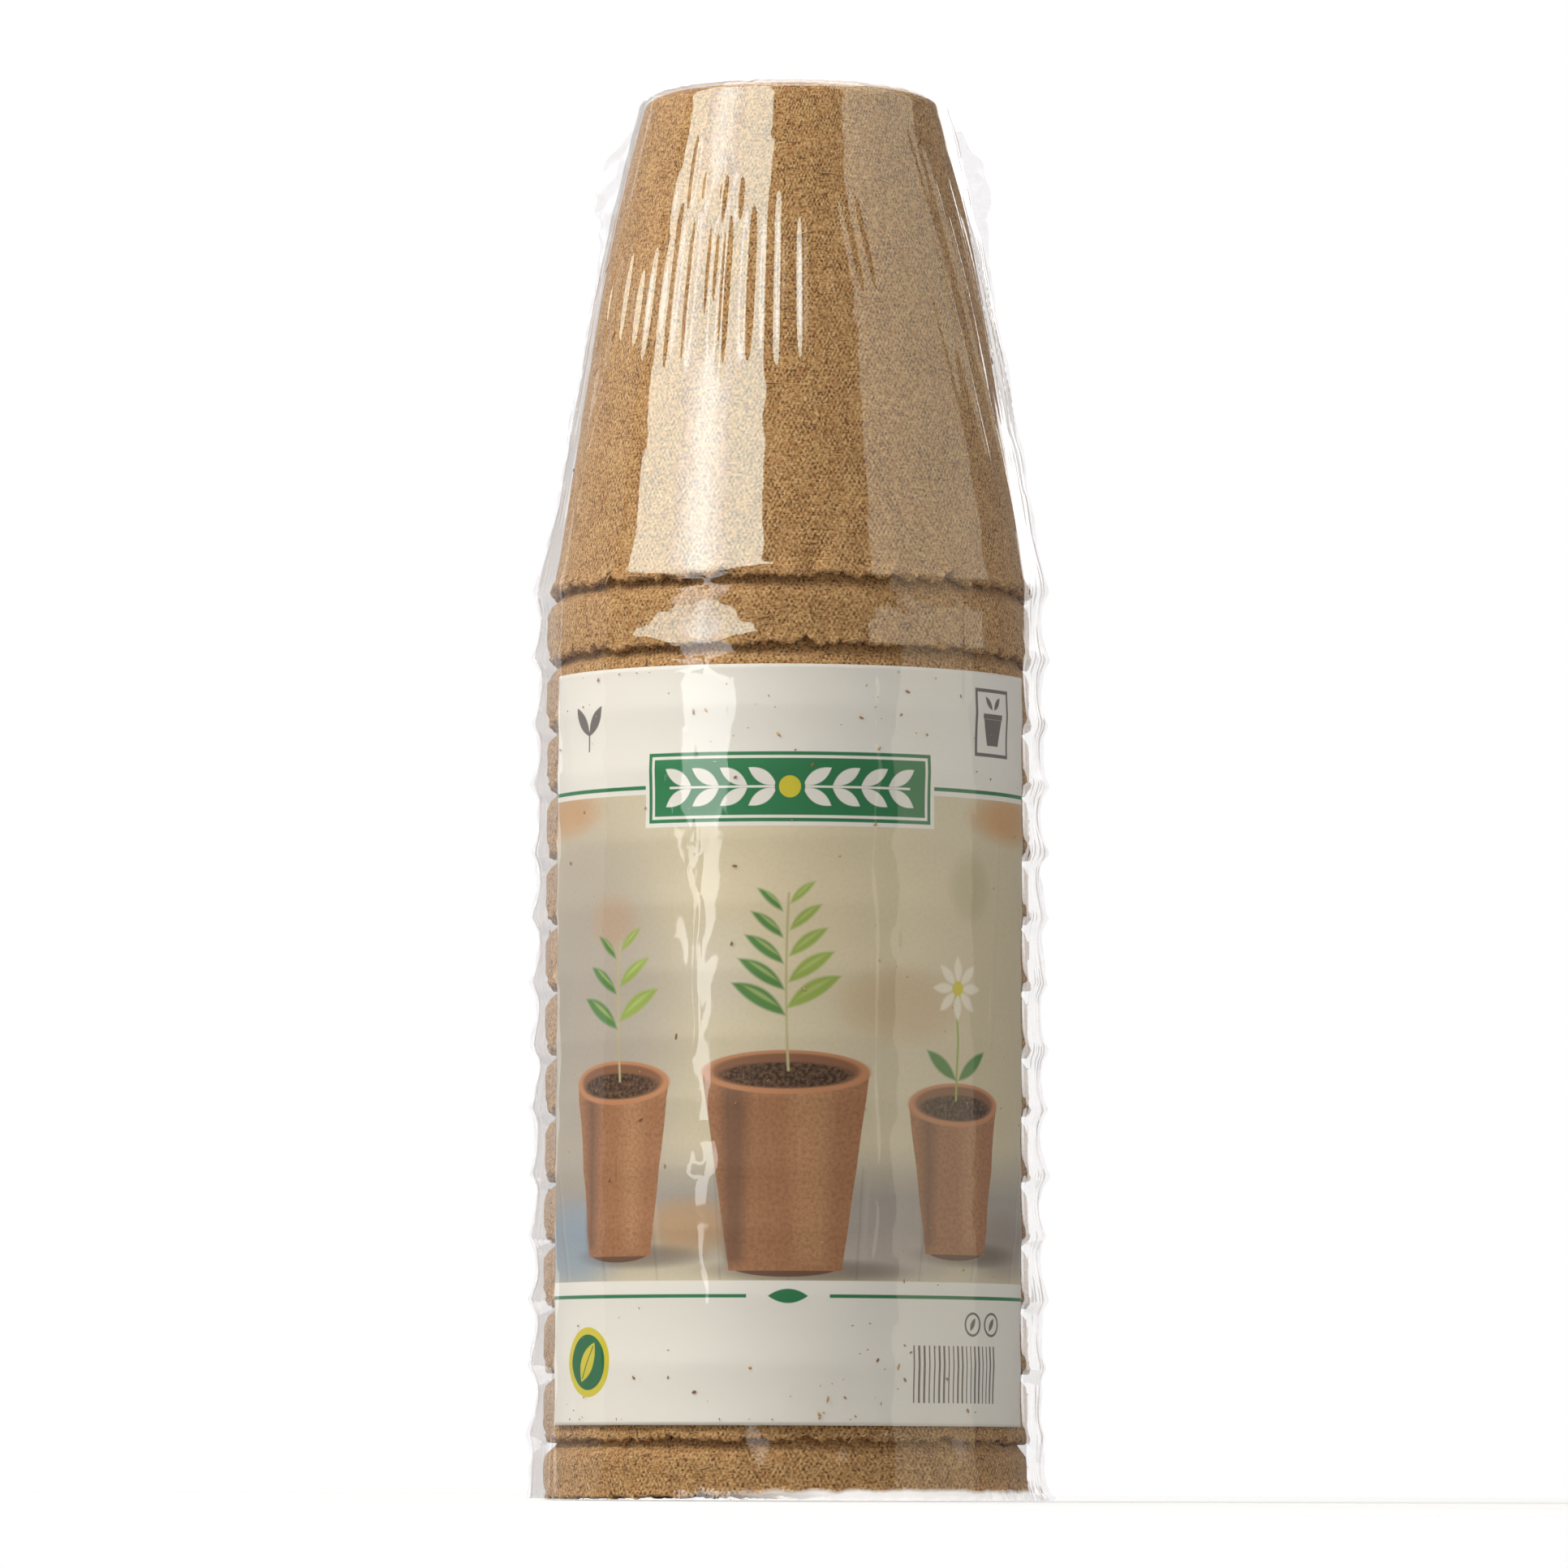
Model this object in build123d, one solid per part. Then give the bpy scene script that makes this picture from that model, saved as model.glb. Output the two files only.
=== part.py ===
"""Retail pack of fifteen peat pots, nested mouth down, with a paper label under a clear shrink film.

The pack stands on its mouths: the origin is the centre of its underside, +Z is up towards the
closed base of the top pot, and -Y is the front, where the label is. All sizes are in millimetres.
"""

import os
from math import acos, asin, atan, cos, degrees, pi, radians, sin, tan

from build123d import *

# One pot, standing on its mouth
POT_HEIGHT = 85.0
POT_WALL = 1.4
MOUTH_RADIUS = 40.4
STRAIGHT_HEIGHT = 45.0
STRAIGHT_RADIUS = 33.5
BASE_RADIUS = 24.9
BASE_ROUNDING = 3.6
DRAIN_RADIUS = 3.5

# Thickened lip, turned out round the mouth
LIP_RADIUS = 41.2
LIP_EDGE = 0.9
LIP_CHAMFER = 0.3
LIP_HEIGHT = 3.2

# How far each pot's mouth stands above the one below it, from the top of the stack down
MOUTH_STEPS = [11.4, 11.2, 10.4, 11.5, 11.0, 11.3, 11.1, 10.2, 11.4, 10.2, 10.9, 11.4, 11.8, 10.2]

# Paper label
LABEL_WIDTH = 104.0
LABEL_HEIGHT = 126.5
LABEL_BOTTOM = 12.4
LABEL_RADIUS = 41.35
LABEL_THICKNESS = 0.2

# Shrink film, drawn thicker than the real 0.02 mm so that it is a solid
FILM = 0.2
FILM_SLACK = 0.35
FILM_OVER_LIP = 0.95
FILM_OVER_LABEL = 0.2
FILM_WAIST = 0.55
CROWN_SLACK = 1.2
CROWN_SHARES = (0.1, 0.3, 0.5, 0.66, 0.8, 0.92)
SHOULDER_ANGLES = (0, 22, 44, 62)
TOP_INSET = 3.0
FILM_CUT_GAP = 0.1
UNDERSIDE_OPENING_RADIUS = 33.0

# Flat tents of film from the round stack out to the side seams, narrower towards the top
TENT_WIDTH = 1.4
TENT_TOP_SHARE = 0.55

# Welded seam down each side, with the loose ear that the cut film leaves near the top
SEAM_THICKNESS = 0.4
SEAM_WIDTH = 0.6
SEAM_ROOT = 1.2
EAR_WIDTH = 4.4
EAR_BELOW_TOP = 14.5
EAR_START_BELOW_TOP = 26.0
SEAM_END_BELOW_TOP = 5.0
SEAM_END_WIDTH = 1.0

WALL_SLOPE = atan((MOUTH_RADIUS - STRAIGHT_RADIUS) / STRAIGHT_HEIGHT)
CORNER_HEIGHT = POT_HEIGHT - BASE_ROUNDING
STACK_BOTTOM = FILM
MOUTH_HEIGHTS = [STACK_BOTTOM + sum(MOUTH_STEPS[i:]) for i in range(len(MOUTH_STEPS) + 1)]
TOP_MOUTH = MOUTH_HEIGHTS[0]
STACK_TOP = TOP_MOUTH + POT_HEIGHT


def upper_wall_centre():
    """Centre and radius of the arc that carries the straight wall on, tangent to it, up to the base."""
    across = STRAIGHT_RADIUS - BASE_RADIUS
    up = POT_HEIGHT - STRAIGHT_HEIGHT
    radius = (across**2 + up**2) / (2 * (across * cos(WALL_SLOPE) - up * sin(WALL_SLOPE)))
    centre = (STRAIGHT_RADIUS - radius * cos(WALL_SLOPE), STRAIGHT_HEIGHT - radius * sin(WALL_SLOPE))
    return centre, radius


def wall_radius(height, depth=0.0):
    """Radius of the pot's outer wall at a height above its mouth, or of a surface that deep inside it."""
    centre, radius = upper_wall_centre()
    if height <= centre[1] + (radius - depth) * sin(WALL_SLOPE):
        return MOUTH_RADIUS - height * tan(WALL_SLOPE) - depth / cos(WALL_SLOPE)
    return centre[0] + (radius - depth) * cos(asin((height - centre[1]) / (radius - depth)))


def pot_half(depth, top):
    """Half section of the solid inside the surface that lies that deep under the pot's outer wall."""
    centre, radius = upper_wall_centre()
    joint_height = centre[1] + (radius - depth) * sin(WALL_SLOPE)
    middle_height = (joint_height + top) / 2
    mouth = (wall_radius(0, depth), 0)
    joint = (wall_radius(joint_height, depth), joint_height)
    corner = (wall_radius(top, depth), top)
    outline = [
        Line((0, 0), mouth),
        Line(mouth, joint),
        ThreePointArc(joint, (wall_radius(middle_height, depth), middle_height), corner),
        Line(corner, (0, top)),
        Line((0, top), (0, 0)),
    ]
    half = make_face(Wire(outline))
    corner_point = half.vertices().sort_by_distance(Vector(*corner))[0]
    return fillet(corner_point, BASE_ROUNDING - depth)


def lip_half():
    """Half section of the thickened, turned-out lip round the mouth."""
    outline = Polyline(
        (wall_radius(0, POT_WALL / 2), 0),
        (LIP_RADIUS - LIP_CHAMFER, 0),
        (LIP_RADIUS, LIP_EDGE / 2),
        (LIP_RADIUS - LIP_CHAMFER, LIP_EDGE),
        (wall_radius(LIP_HEIGHT), LIP_HEIGHT),
        (wall_radius(LIP_HEIGHT, POT_WALL / 2), LIP_HEIGHT),
        close=True,
    )
    return make_face(outline)


def make_pot():
    """One moulded pot, mouth down at Z 0."""
    outside = pot_half(0, POT_HEIGHT)
    inside = pot_half(POT_WALL, POT_HEIGHT - POT_WALL)
    section = outside - inside + lip_half()
    pot = revolve(Plane.XZ * section, Axis.Z)
    return pot - Pos(0, 0, POT_HEIGHT) * Cylinder(DRAIN_RADIUS, 4 * POT_WALL)


def crown_radius(share):
    """Radius of the film's inner face over the top pot, that share of the way up its wall."""
    return wall_radius(CORNER_HEIGHT * share) + FILM_SLACK + CROWN_SLACK * (1 - share) ** 2


def film_radii():
    """(height, radius) pairs of the film's inner face where it is round, from the bottom up."""
    over_lip = LIP_RADIUS + FILM_OVER_LIP
    waist = LABEL_RADIUS + LABEL_THICKNESS + FILM_OVER_LABEL
    pairs = []
    for lower, upper in zip(reversed(MOUTH_HEIGHTS), reversed(MOUTH_HEIGHTS[:-1])):
        pairs.append((lower + LIP_EDGE / 2, over_lip))
        pairs.append((lower + (upper - lower) * FILM_WAIST, waist))
    pairs.append((TOP_MOUTH + LIP_EDGE / 2, over_lip))
    for share in CROWN_SHARES:
        pairs.append((TOP_MOUTH + CORNER_HEIGHT * share, crown_radius(share)))
    bend = BASE_ROUNDING + FILM_SLACK
    bend_centre = crown_radius(1) - bend
    for angle in SHOULDER_ANGLES:
        height = TOP_MOUTH + CORNER_HEIGHT + bend * sin(radians(angle))
        pairs.append((height, bend_centre + bend * cos(radians(angle))))
    return pairs


def tent_width(height):
    """How far the film stands out past its round part at each side seam."""
    share = max(0.0, height - TOP_MOUTH) / POT_HEIGHT
    return TENT_WIDTH * (1 - share * (1 - TENT_TOP_SHARE))


def film_section(height, radius, tent):
    """Outline of the film at one height: front and back arcs with flat tents drawn out to the side seams."""
    tip = radius + tent
    spread = acos(radius / tip)
    across, along = radius * cos(spread), radius * sin(spread)
    edges = [
        Line((tip, 0), (across, along)),
        ThreePointArc((across, along), (0, radius), (-across, along)),
        Line((-across, along), (-tip, 0)),
        Line((-tip, 0), (-across, -along)),
        ThreePointArc((-across, -along), (0, -radius), (across, -along)),
        Line((across, -along), (tip, 0)),
    ]
    return Pos(0, 0, height) * make_face(Wire(edges))


def film_solid(offset, bottom, top):
    """Solid bounded by the film's inner face, or by its outer one with the offset of its thickness."""
    pairs = [(bottom, LIP_RADIUS + FILM_OVER_LIP), *film_radii()[1:]]
    pairs.append((top, crown_radius(1) - TOP_INSET))
    sections = [film_section(height, radius + offset, tent_width(height)) for height, radius in pairs]
    return Solid.make_loft([section.face().outer_wire() for section in sections], ruled=True)


def make_film_outside():
    """Everything inside the film's outer face."""
    return film_solid(FILM, FILM + FILM_CUT_GAP, STACK_TOP + 2 * FILM)


def make_film_wrap():
    """Clear film over the top of the stack and down its sides, open below where it is cut for opening."""
    return make_film_outside() - film_solid(0, -FILM, STACK_TOP + FILM)


def make_film_underside():
    """Film drawn in under the lowest mouth, with the open middle that shrinking leaves."""
    radius = LIP_RADIUS + FILM_OVER_LIP + FILM
    ring = film_section(0, radius, tent_width(0)) - Circle(UNDERSIDE_OPENING_RADIUS)
    return extrude(ring, FILM)


def crown_tip(height):
    """Distance from the axis to the film's seam line, at a height on the top pot."""
    share = (height - TOP_MOUTH) / CORNER_HEIGHT
    return crown_radius(share) + FILM + tent_width(height)


def make_side_seam():
    """Flat welded strip down the right side of the film, ending in its ear."""
    ear_height = STACK_TOP - EAR_BELOW_TOP
    ear_start = STACK_TOP - EAR_START_BELOW_TOP
    seam_end = STACK_TOP - SEAM_END_BELOW_TOP
    pairs = [(FILM + FILM_CUT_GAP, LIP_RADIUS + FILM_OVER_LIP), *film_radii()[1:]]
    tips = [(radius + FILM + tent_width(height), height) for height, radius in pairs if height < ear_start]
    crown_heights = (ear_start, ear_height, seam_end)
    tips += [(crown_tip(height), height) for height in crown_heights]
    widths = [SEAM_WIDTH] * (len(tips) - 2) + [EAR_WIDTH, SEAM_END_WIDTH]
    root = [(tip - SEAM_ROOT, height) for tip, height in tips]
    edge = [(tip + width, height) for (tip, height), width in zip(tips, widths)]
    strip = make_face(Polyline(*root, *reversed(edge), close=True))
    solid = extrude(Plane.XZ * strip, SEAM_THICKNESS / 2, both=True)
    return solid - make_film_outside()


def make_label():
    """Curved paper label, centred on the front."""
    turn = LABEL_WIDTH / (LABEL_RADIUS + LABEL_THICKNESS / 2)
    middle = (LABEL_RADIUS + LABEL_THICKNESS / 2, STACK_BOTTOM + LABEL_BOTTOM + LABEL_HEIGHT / 2)
    section = Pos(*middle) * Rectangle(LABEL_THICKNESS, LABEL_HEIGHT)
    sheet = revolve(Plane.XZ * section, Axis.Z, revolution_arc=degrees(turn))
    return Rot(0, 0, degrees(-pi / 2 - turn / 2)) * sheet


def least_nesting_gap():
    """Smallest gap, square to the wall, between two neighbouring pots of the stack."""
    step = min(MOUTH_STEPS)
    heights = range(int(CORNER_HEIGHT - step))
    return min((wall_radius(h, POT_WALL) - wall_radius(h + step)) * cos(WALL_SLOPE) for h in heights)


def main():
    """Builds every piece and writes one STEP file for each."""
    os.makedirs("parts", exist_ok=True)
    print("least gap between nested pots", round(least_nesting_gap(), 3))
    pot = make_pot()
    for number, height in enumerate(MOUTH_HEIGHTS, start=1):
        export_step(Pos(0, 0, height) * pot, f"parts/pot_{number:02d}.step")
    seam = make_side_seam()
    export_step(seam, "parts/side_seam_right.step")
    export_step(mirror(seam, Plane.YZ), "parts/side_seam_left.step")
    export_step(make_label(), "parts/label_sheet.step")
    export_step(make_film_wrap(), "parts/film_wrap.step")
    export_step(make_film_underside(), "parts/film_underside.step")


main()
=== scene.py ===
"""Looks of a shop pack of fifteen nested peat pots with a printed paper label, in clear shrink film.

Meshes are made in millimetres about the pack's axis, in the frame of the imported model, and turned
to metres when each piece is finished. The front is -Y, and azimuths are measured from it
towards +X, in radians in the code and in degrees where a field's name says so.
"""

import logging
import math
from dataclasses import dataclass, field
from enum import Enum

import bmesh
import bpy
import numpy as np
from mathutils import Matrix, Vector


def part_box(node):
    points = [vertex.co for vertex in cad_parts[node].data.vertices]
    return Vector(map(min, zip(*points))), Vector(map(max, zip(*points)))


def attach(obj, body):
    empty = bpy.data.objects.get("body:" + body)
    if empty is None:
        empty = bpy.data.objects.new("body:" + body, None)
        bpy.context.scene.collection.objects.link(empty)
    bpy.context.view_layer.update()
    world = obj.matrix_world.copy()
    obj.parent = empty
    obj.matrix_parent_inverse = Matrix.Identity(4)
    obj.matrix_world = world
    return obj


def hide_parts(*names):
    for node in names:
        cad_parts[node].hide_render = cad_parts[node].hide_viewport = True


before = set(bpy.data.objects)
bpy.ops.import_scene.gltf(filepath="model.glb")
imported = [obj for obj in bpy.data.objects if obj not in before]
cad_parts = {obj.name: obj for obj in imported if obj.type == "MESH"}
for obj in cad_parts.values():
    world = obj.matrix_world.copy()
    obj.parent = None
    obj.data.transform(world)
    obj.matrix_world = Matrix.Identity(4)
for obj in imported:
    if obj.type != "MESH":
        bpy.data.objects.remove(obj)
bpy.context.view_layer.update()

LOG = logging.getLogger("peat_pots")
MM = 0.001
POT_COUNT = 15
ARCS = 20
LEVEL = (1e6, 2e6)
MIX_A, MIX_B, MIX_RESULT = 6, 7, 2
Socket = bpy.types.NodeSocket
Tree = bpy.types.NodeTree


class Side(Enum):
    """The two sides of the pack that carry a welded seam, as the sign of X."""

    LEFT = -1
    RIGHT = 1


class Half(Enum):
    """The two half sheets that the film is welded from, as the sign of X where their spin starts."""

    FRONT = -1
    BACK = 1


class PrintShape(Enum):
    """Outlines that the label's print is put together from."""

    BLOCK = "block"
    OVAL = "oval"
    LEAF = "leaf"


def hex_colour(code: str) -> tuple[float, float, float, float]:
    """Turns an sRGB hex colour into the linear colour that a shader socket takes.

    Args:
        code: Six hex digits, red first.

    Returns:
        Linear red, green and blue, and an alpha of 1.
    """
    channels = [int(code[i : i + 2], 16) / 255 for i in (0, 2, 4)]
    linear = [c / 12.92 if c <= 0.04045 else ((c + 0.055) / 1.055) ** 2.4 for c in channels]
    return (*linear, 1.0)


def add(tree: Tree, kind: str, inputs: dict | tuple = (), output: int | str = 0,
        **settings: object) -> Socket:
    """Adds a shader node, sets its options and fills its sockets with values or links.

    Args:
        tree: Node tree that the node goes into.
        kind: Blender's name of the node type, without the ShaderNode it starts with.
        inputs: Values or output sockets for the node's inputs, in order, or by name or index.
        output: Name or index of the output that is wanted.
        settings: Properties to set on the node.

    Returns:
        The chosen output socket.
    """
    node = tree.nodes.new("ShaderNode" + kind)
    for name, value in settings.items():
        setattr(node, name, value)
    for key, value in inputs.items() if isinstance(inputs, dict) else enumerate(inputs):
        if isinstance(value, Socket):
            tree.links.new(value, node.inputs[key])
        else:
            node.inputs[key].default_value = value
    return node.outputs[output]


def new_material(name: str) -> tuple[bpy.types.Material, Tree]:
    """Makes a material with an empty node tree.

    Args:
        name: Its name.

    Returns:
        The material and its node tree.
    """
    material = bpy.data.materials.new(name)
    material.use_nodes = True
    material.node_tree.nodes.clear()
    return material, material.node_tree


def add_surface(tree: Tree, shader: Socket) -> None:
    """Links a shader to a new material output."""
    output = tree.nodes.new("ShaderNodeOutputMaterial")
    tree.links.new(shader, output.inputs["Surface"])


def in_millimetres(tree: Tree) -> Socket:
    """Object coordinates, turned to millimetres."""
    place = add(tree, "TexCoord", output="Object")
    return add(tree, "VectorMath", {0: place, "Scale": 1 / MM}, operation="SCALE")


def relief(tree: Tree, pattern: Socket, depth: float) -> Socket:
    """Normal of a surface that a pattern raises by up to a depth in millimetres."""
    height = add(tree, "Math", (pattern, depth * MM), operation="MULTIPLY")
    return add(tree, "Bump", {"Height": height, "Distance": 1.0, "Strength": 1.0})


def seen_or_mirrored(tree: Tree) -> Socket:
    """Gives 1 to what is seen, straight, mirrored or through clear film, and 0 to all other light.

    Args:
        tree: Node tree of a material or the world.

    Returns:
        A value of 1 or 0.
    """
    paths = add(tree, "LightPath").node.outputs
    seen = add(tree, "Math", (paths["Is Camera Ray"], paths["Is Glossy Ray"]), operation="MAXIMUM")
    return add(tree, "Math", (seen, paths["Is Transmission Ray"]), operation="MAXIMUM")


def placed(name: str, data: bpy.types.ID) -> bpy.types.Object:
    """Makes an object of some data in the scene, at the origin.

    Args:
        name: Its name.
        data: The mesh, lamp or camera that it shows.

    Returns:
        The object.
    """
    thing = bpy.data.objects.new(name, data)
    bpy.context.scene.collection.objects.link(thing)
    return thing


def smooth(share: np.ndarray | float) -> np.ndarray:
    """Eases a share from 0 to 1, flat at both ends and clipped outside them."""
    share = np.clip(share, 0.0, 1.0)
    return share * share * (3 - 2 * share)


def node_top(node: str) -> float:
    """Height of a CAD node's highest point, in millimetres."""
    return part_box(node)[1].z / MM


def node_bottom(node: str) -> float:
    """Height of a CAD node's lowest point, in millimetres."""
    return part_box(node)[0].z / MM


@dataclass
class SurfaceNoise:
    """Smooth seeded noise over azimuth and height, made of waves that close round the pack.

    Args:
        seed: Seed of the waves.
        around: Fewest and most waves in one turn.
        upward: Shortest and longest wave along the height, in millimetres, or LEVEL for none.
        count: How many waves are added up.
    """

    seed: int
    around: tuple[int, int]
    upward: tuple[float, float]
    count: int = 24

    def __post_init__(self) -> None:
        """Draws the waves."""
        rng = np.random.default_rng(self.seed)
        self.turns = rng.integers(self.around[0], self.around[1] + 1, self.count)
        signs = rng.choice((-1, 1), self.count)
        self.slopes = signs * 2 * np.pi / rng.uniform(*self.upward, self.count)
        self.phases = rng.uniform(0, 2 * np.pi, self.count)

    def at(self, azimuth: np.ndarray, height: np.ndarray | float) -> np.ndarray:
        """Gives the noise, about -1 to 1, at each azimuth and height.

        Args:
            azimuth: Azimuth of each point.
            height: Height of each point.

        Returns:
            The noise, about -1 to 1, at each point.
        """
        total = np.zeros_like(azimuth)
        for turn, slope, phase in zip(self.turns, self.slopes, self.phases):
            total += np.sin(turn * azimuth + slope * height + phase)
        return np.clip(total / math.sqrt(self.count), -1.8, 1.8) / 1.5


def read_points(bm: bmesh.types.BMesh) -> np.ndarray:
    """Gives a bmesh's vertices as rows of X, Y and Z."""
    return np.array([vert.co for vert in bm.verts])


def write_points(bm: bmesh.types.BMesh, points: np.ndarray) -> None:
    """Moves a bmesh's vertices to the given rows of X, Y and Z."""
    for vert, point in zip(bm.verts, points):
        vert.co = point


def to_ring(points: np.ndarray) -> tuple[np.ndarray, np.ndarray, np.ndarray]:
    """Splits points into azimuth from the front, distance from the axis, and height."""
    azimuth = np.arctan2(points[:, 0], -points[:, 1])
    return azimuth, np.hypot(points[:, 0], points[:, 1]), points[:, 2].copy()


def from_ring(azimuth: np.ndarray, radius: np.ndarray, height: np.ndarray) -> np.ndarray:
    """Puts azimuth, distance from the axis and height together into points."""
    return np.column_stack((radius * np.sin(azimuth), -radius * np.cos(azimuth), height))


def spun(profile: list[tuple[float, float]], steps: int, start: int = 1, angle: float = 2 * np.pi,
         closed: bool = False) -> bmesh.types.BMesh:
    """Spins a profile of (radius, height) points round the axis, one arc of it at a time.

    Args:
        profile: Points of the profile, in order.
        steps: How many steps the turn is divided into, a multiple of ARCS.
        start: Sign of X where the spin starts.
        angle: How far it turns.
        closed: Whether the last point joins the first.

    Returns:
        The spun surface with its seams and poles merged.
    """
    bm = bmesh.new()
    verts = [bm.verts.new((start * radius, 0, height)) for radius, height in profile]
    pairs = list(zip(verts, verts[1:]))
    if closed:
        pairs.append((verts[-1], verts[0]))
    edges = [bm.edges.new(pair) for pair in pairs]
    axis = (0, 0, 1)
    bmesh.ops.spin(bm, geom=verts + edges, cent=(0, 0, 0), axis=axis, angle=angle / ARCS, steps=steps // ARCS)
    arc = bm.verts[:] + bm.edges[:] + bm.faces[:]
    for number in range(1, ARCS):
        copied = bmesh.ops.duplicate(bm, geom=arc)["geom"]
        turn = Matrix.Rotation(angle * number / ARCS, 3, axis)
        moved = [item for item in copied if isinstance(item, bmesh.types.BMVert)]
        bmesh.ops.rotate(bm, cent=(0, 0, 0), matrix=turn, verts=moved)
    bmesh.ops.remove_doubles(bm, verts=bm.verts, dist=1e-3)
    return bm


def face_outwards(bm: bmesh.types.BMesh) -> None:
    """Makes the faces agree and turns them away from the axis on the whole.

    Args:
        bm: The surface, which is changed.
    """
    bmesh.ops.recalc_face_normals(bm, faces=bm.faces)
    outward = 0.0
    for face in bm.faces:
        centre = face.calc_center_median()
        outward += face.normal.x * centre.x + face.normal.y * centre.y
    if outward < 0:
        bmesh.ops.reverse_faces(bm, faces=bm.faces)


def finish_piece(
    name: str, mesh: bpy.types.Mesh, material: bpy.types.Material, body: str, slot: str, *nodes: str
) -> bpy.types.Object:
    """Turns a mesh in millimetres into a piece in metres that rides on a body.

    Args:
        name: The piece's name.
        mesh: Its mesh, in millimetres.
        material: Its finish.
        body: The body it moves with.
        slot: The record's material slot, which is not used.
        nodes: The CAD nodes it stands for.

    Returns:
        The piece.
    """
    mesh.transform(Matrix.Scale(MM, 4))
    mesh.shade_smooth()
    mesh.materials.clear()
    mesh.materials.append(material)
    piece = placed(name, mesh)
    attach(piece, body)
    if nodes:
        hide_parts(*nodes)
    LOG.info("%s: %d faces, rides on %s", name, len(mesh.polygons), body)
    return piece


def to_mesh(name: str, bm: bmesh.types.BMesh) -> bpy.types.Mesh:
    """Writes a bmesh into a new mesh and frees it.

    Args:
        name: The mesh's name.
        bm: The surface, which is freed.

    Returns:
        The mesh.
    """
    mesh = bpy.data.meshes.new(name)
    bm.to_mesh(mesh)
    bm.free()
    return mesh


# Finishes


class Finish:
    """A material whose surface is built by each kind of finish."""

    def build(self, name: str) -> bpy.types.Material:
        """Builds the material under the given name.

        Args:
            name: Its name.

        Returns:
            The material.
        """
        material, tree = new_material(name)
        add_surface(tree, self.shader(tree))
        return material

    def shader(self, tree: Tree) -> Socket:
        """Builds the nodes and returns the finished surface."""
        raise NotImplementedError


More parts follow.
